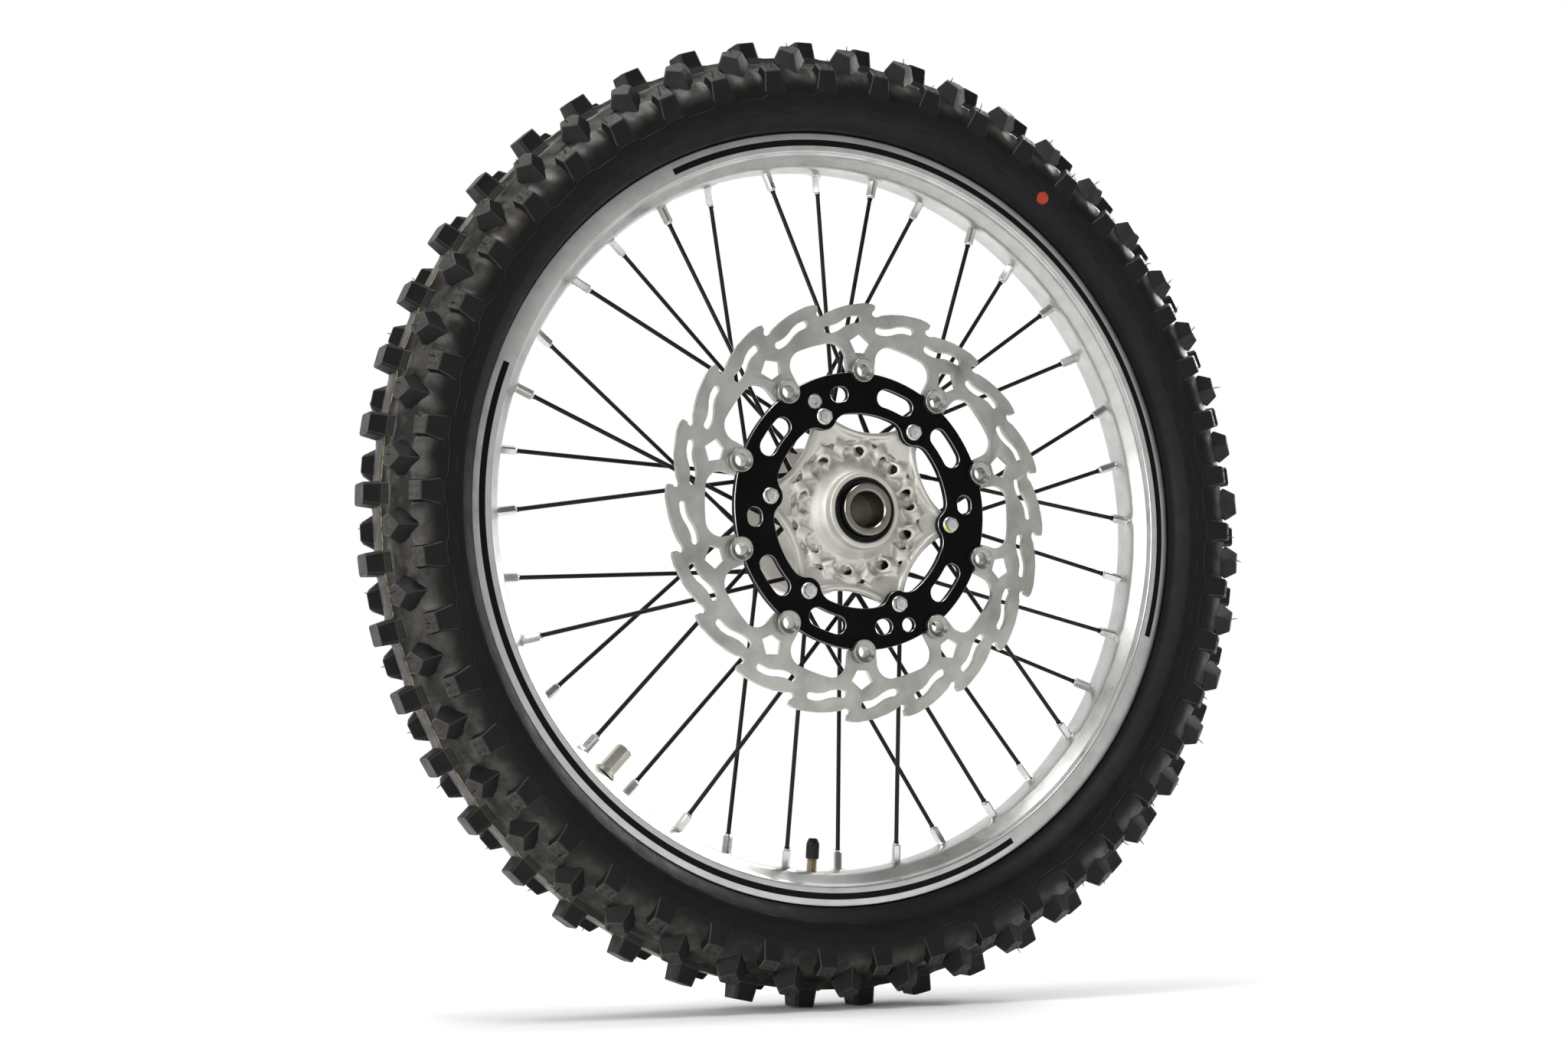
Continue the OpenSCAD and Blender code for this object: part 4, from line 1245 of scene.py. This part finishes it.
stem = gather([lathe([(8, 0), (8, 1.2), (4, 1.3), (3.9, 10)], 40), thread(3.9, 10, 33, 0.9, 0.3)])
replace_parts(make("valve_brass_stem", *inward(stem, VALVE_A, 273.65), BRASS_LOOK, slot="brass",
                 smooth_deg=30), "valve_stem")
CAP_STEPS = 80
CAP_RIBS = 20
cap_rows = []
for z, r, ribbed in ((0, 4.2, 0), (0.3, 4.6, 0.2), (1, 4.7, 1), (9.4, 4.7, 1), (10.4, 4.65, 0.4),
                     (11.4, 4.4, 0), (12.6, 3.9, 0), (13.8, 3.4, 0), (14.4, 2.9, 0),
                     (14.6, 2.0, 0)):
    ribs = 0.5 + 0.5 * np.sign(np.sin(turns(CAP_STEPS) * CAP_RIBS))
    cap_rows.append(ring(r - 0.3 * ribbed * ribs, z, CAP_STEPS))
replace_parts(make("valve_ribbed_cap", *inward(shell(cap_rows), VALVE_A, 246.8), CAP_LOOK,
                 slot="cap_plastic", smooth_deg=25), "valve_cap")

nut_rows = []
for z, size, hexed in ((0, 7.1, 0), (0.2, 7.5, 0), (1.3, 7.5, 0), (1.9, 6.9, 0), (2.0, 6.2, 1),
                       (21.0, 6.2, 1), (21.7, 5.9, 0.7), (22, 5.3, 0), (22, 4.2, 0),
                       (20.5, 4.05, 0)):
    radius = size * (1 - hexed) + hex_radius(size) * hexed
    nut_rows.append(ring(radius, z, HEX_STEPS))
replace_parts(make("rim_lock_sleeve_nut", *inward(shell(nut_rows), RIM_LOCK_A, 253.68), NICKEL_LOOK,
                 slot="nickel", smooth_deg=28), "rim_lock_nut")
lock_washer = hollow(rounded([(4.2, 0), (8.5, 0), (8.5, 1.6), (4.2, 1.6)], 0.3), 40)
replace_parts(make("rim_lock_flat_washer", *inward(lock_washer, RIM_LOCK_A, 255.3), NICKEL_LOOK,
                 slot="nickel", smooth_deg=30), "rim_lock_washer")
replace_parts(make("rim_lock_thread", *inward(thread(4, 0.3, 35.6, 1.25, 0.4), RIM_LOCK_A, 272),
                 BOLT_LOOK, slot="bolt_steel", smooth_deg=30), "rim_lock_stud")


# ---- Finishes of the pieces that keep their CAD shape ----

KEPT = {
    "inner_tube": TUBE_LOOK, "rim_strip": STRIP_LOOK, "rim_lock_shoe": SHOE_LOOK,
    "spokes_disc_side_outer": SPOKE_LOOK, "spokes_disc_side_inner": SPOKE_LOOK,
    "spokes_far_side_outer": SPOKE_LOOK, "spokes_far_side_inner": SPOKE_LOOK,
    "bobbin_clips": CLIP_LOOK, "distance_tube": DISTANCE_LOOK, "valve_core": BRASS_LOOK,
}
for side, word in SIDES:
    for part in ("bearing_outer", "bearing_inner", "bearing_balls"):
        KEPT[f"{part}_{word}"] = BEARING_LOOK
    KEPT[f"bearing_cage_{word}"] = CAGE_LOOK
    KEPT[f"bearing_shields_{word}"] = SEAL_LOOK
for node, finish in KEPT.items():
    mesh = nodes[node].data
    mesh.materials.clear()
    mesh.materials.append(finish)


# ---- Floor, light and background ----

FLOOR_HALF = 14.0
floor_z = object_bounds()[0].z
floor_mesh = bpy.data.meshes.new("floor")
floor_mesh.from_pydata([(x * FLOOR_HALF, y * FLOOR_HALF, floor_z)
                        for x, y in ((-1, -1), (1, -1), (1, 1), (-1, 1))], [], [(0, 1, 2, 3)])
floor = bpy.data.objects.new("floor", floor_mesh)
bpy.context.scene.collection.objects.link(floor)
paper = Look("floor_paper", (0.92, 0.92, 0.92), Roughness=0.9, **{SHEEN: 0.1})
away = paper.node("ShaderNodeVectorMath", operation="LENGTH")
paper.feed(away.inputs[0], paper.at)
fade = paper.remap(away.outputs["Value"], 0.55, 1.3, 0.0, 1.0)
paper.color(paper.mix(paper.remap(paper.noise(3.0), 0.3, 0.7, 0.0, 1.0), (0.92, 0.92, 0.92),
                      (0.9, 0.9, 0.905)))
glow = paper.node("ShaderNodeEmission")
glow.inputs["Color"].default_value = (1, 1, 1, 1)
glow.inputs["Strength"].default_value = 1.0
blender_mix = paper.node("ShaderNodeMixShader")
paper.feed(blender_mix.inputs[0], fade)
paper.feed(blender_mix.inputs[1], paper.shader.outputs[0])
paper.feed(blender_mix.inputs[2], glow.outputs[0])
paper.feed(paper.tree.nodes["Material Output"].inputs["Surface"], blender_mix.outputs[0])
floor_mesh.materials.append(paper.material)

world = bpy.data.worlds.new("studio")
bpy.context.scene.world = world
world.use_nodes = True
sky = world.node_tree
backdrop = sky.nodes["Background"]
backdrop.inputs["Color"].default_value = (1, 1, 1, 1)
backdrop.inputs["Strength"].default_value = 1.0
studio = sky.nodes.new("ShaderNodeBackground")
studio.inputs["Color"].default_value = (1, 1, 1, 1)
facing = sky.nodes.new("ShaderNodeSeparateXYZ")
sky.links.new(sky.nodes.new("ShaderNodeTexCoord").outputs["Generated"], facing.inputs[0])
depth = sky.nodes.new("ShaderNodeMapRange")
for key, number in (("From Min", -0.5), ("From Max", 0.7), ("To Min", 0.16), ("To Max", 0.95)):
    depth.inputs[key].default_value = number
sky.links.new(facing.outputs["Y"], depth.inputs["Value"])
sky.links.new(depth.outputs[0], studio.inputs["Strength"])
seen = sky.nodes.new("ShaderNodeMixShader")
sky.links.new(sky.nodes.new("ShaderNodeLightPath").outputs["Is Camera Ray"], seen.inputs[0])
sky.links.new(studio.outputs[0], seen.inputs[1])
sky.links.new(backdrop.outputs[0], seen.inputs[2])
sky.links.new(seen.outputs[0], sky.nodes["World Output"].inputs["Surface"])
bpy.context.scene.view_settings.view_transform = "Standard"


def soft_light(name, place_at, size, watts):
    """A large square light that looks at the wheel's centre."""
    data = bpy.data.lights.new(name, "AREA")
    data.shape = "SQUARE"
    data.size = size
    data.energy = watts
    lamp = bpy.data.objects.new(name, data)
    bpy.context.scene.collection.objects.link(lamp)
    lamp.location = place_at
    lamp.rotation_euler = (-Vector(place_at)).to_track_quat("-Z", "Y").to_euler()


soft_light("left_light", (-2.2, -0.9, 0.5), 1.4, 36)
soft_light("top_light", (-0.5, -0.3, 2.2), 0.9, 34)
soft_light("back_light", (2.0, 1.1, 1.2), 1.2, 45)
soft_light("front_light", (1.3, -2.6, 0.4), 1.6, 3.5)
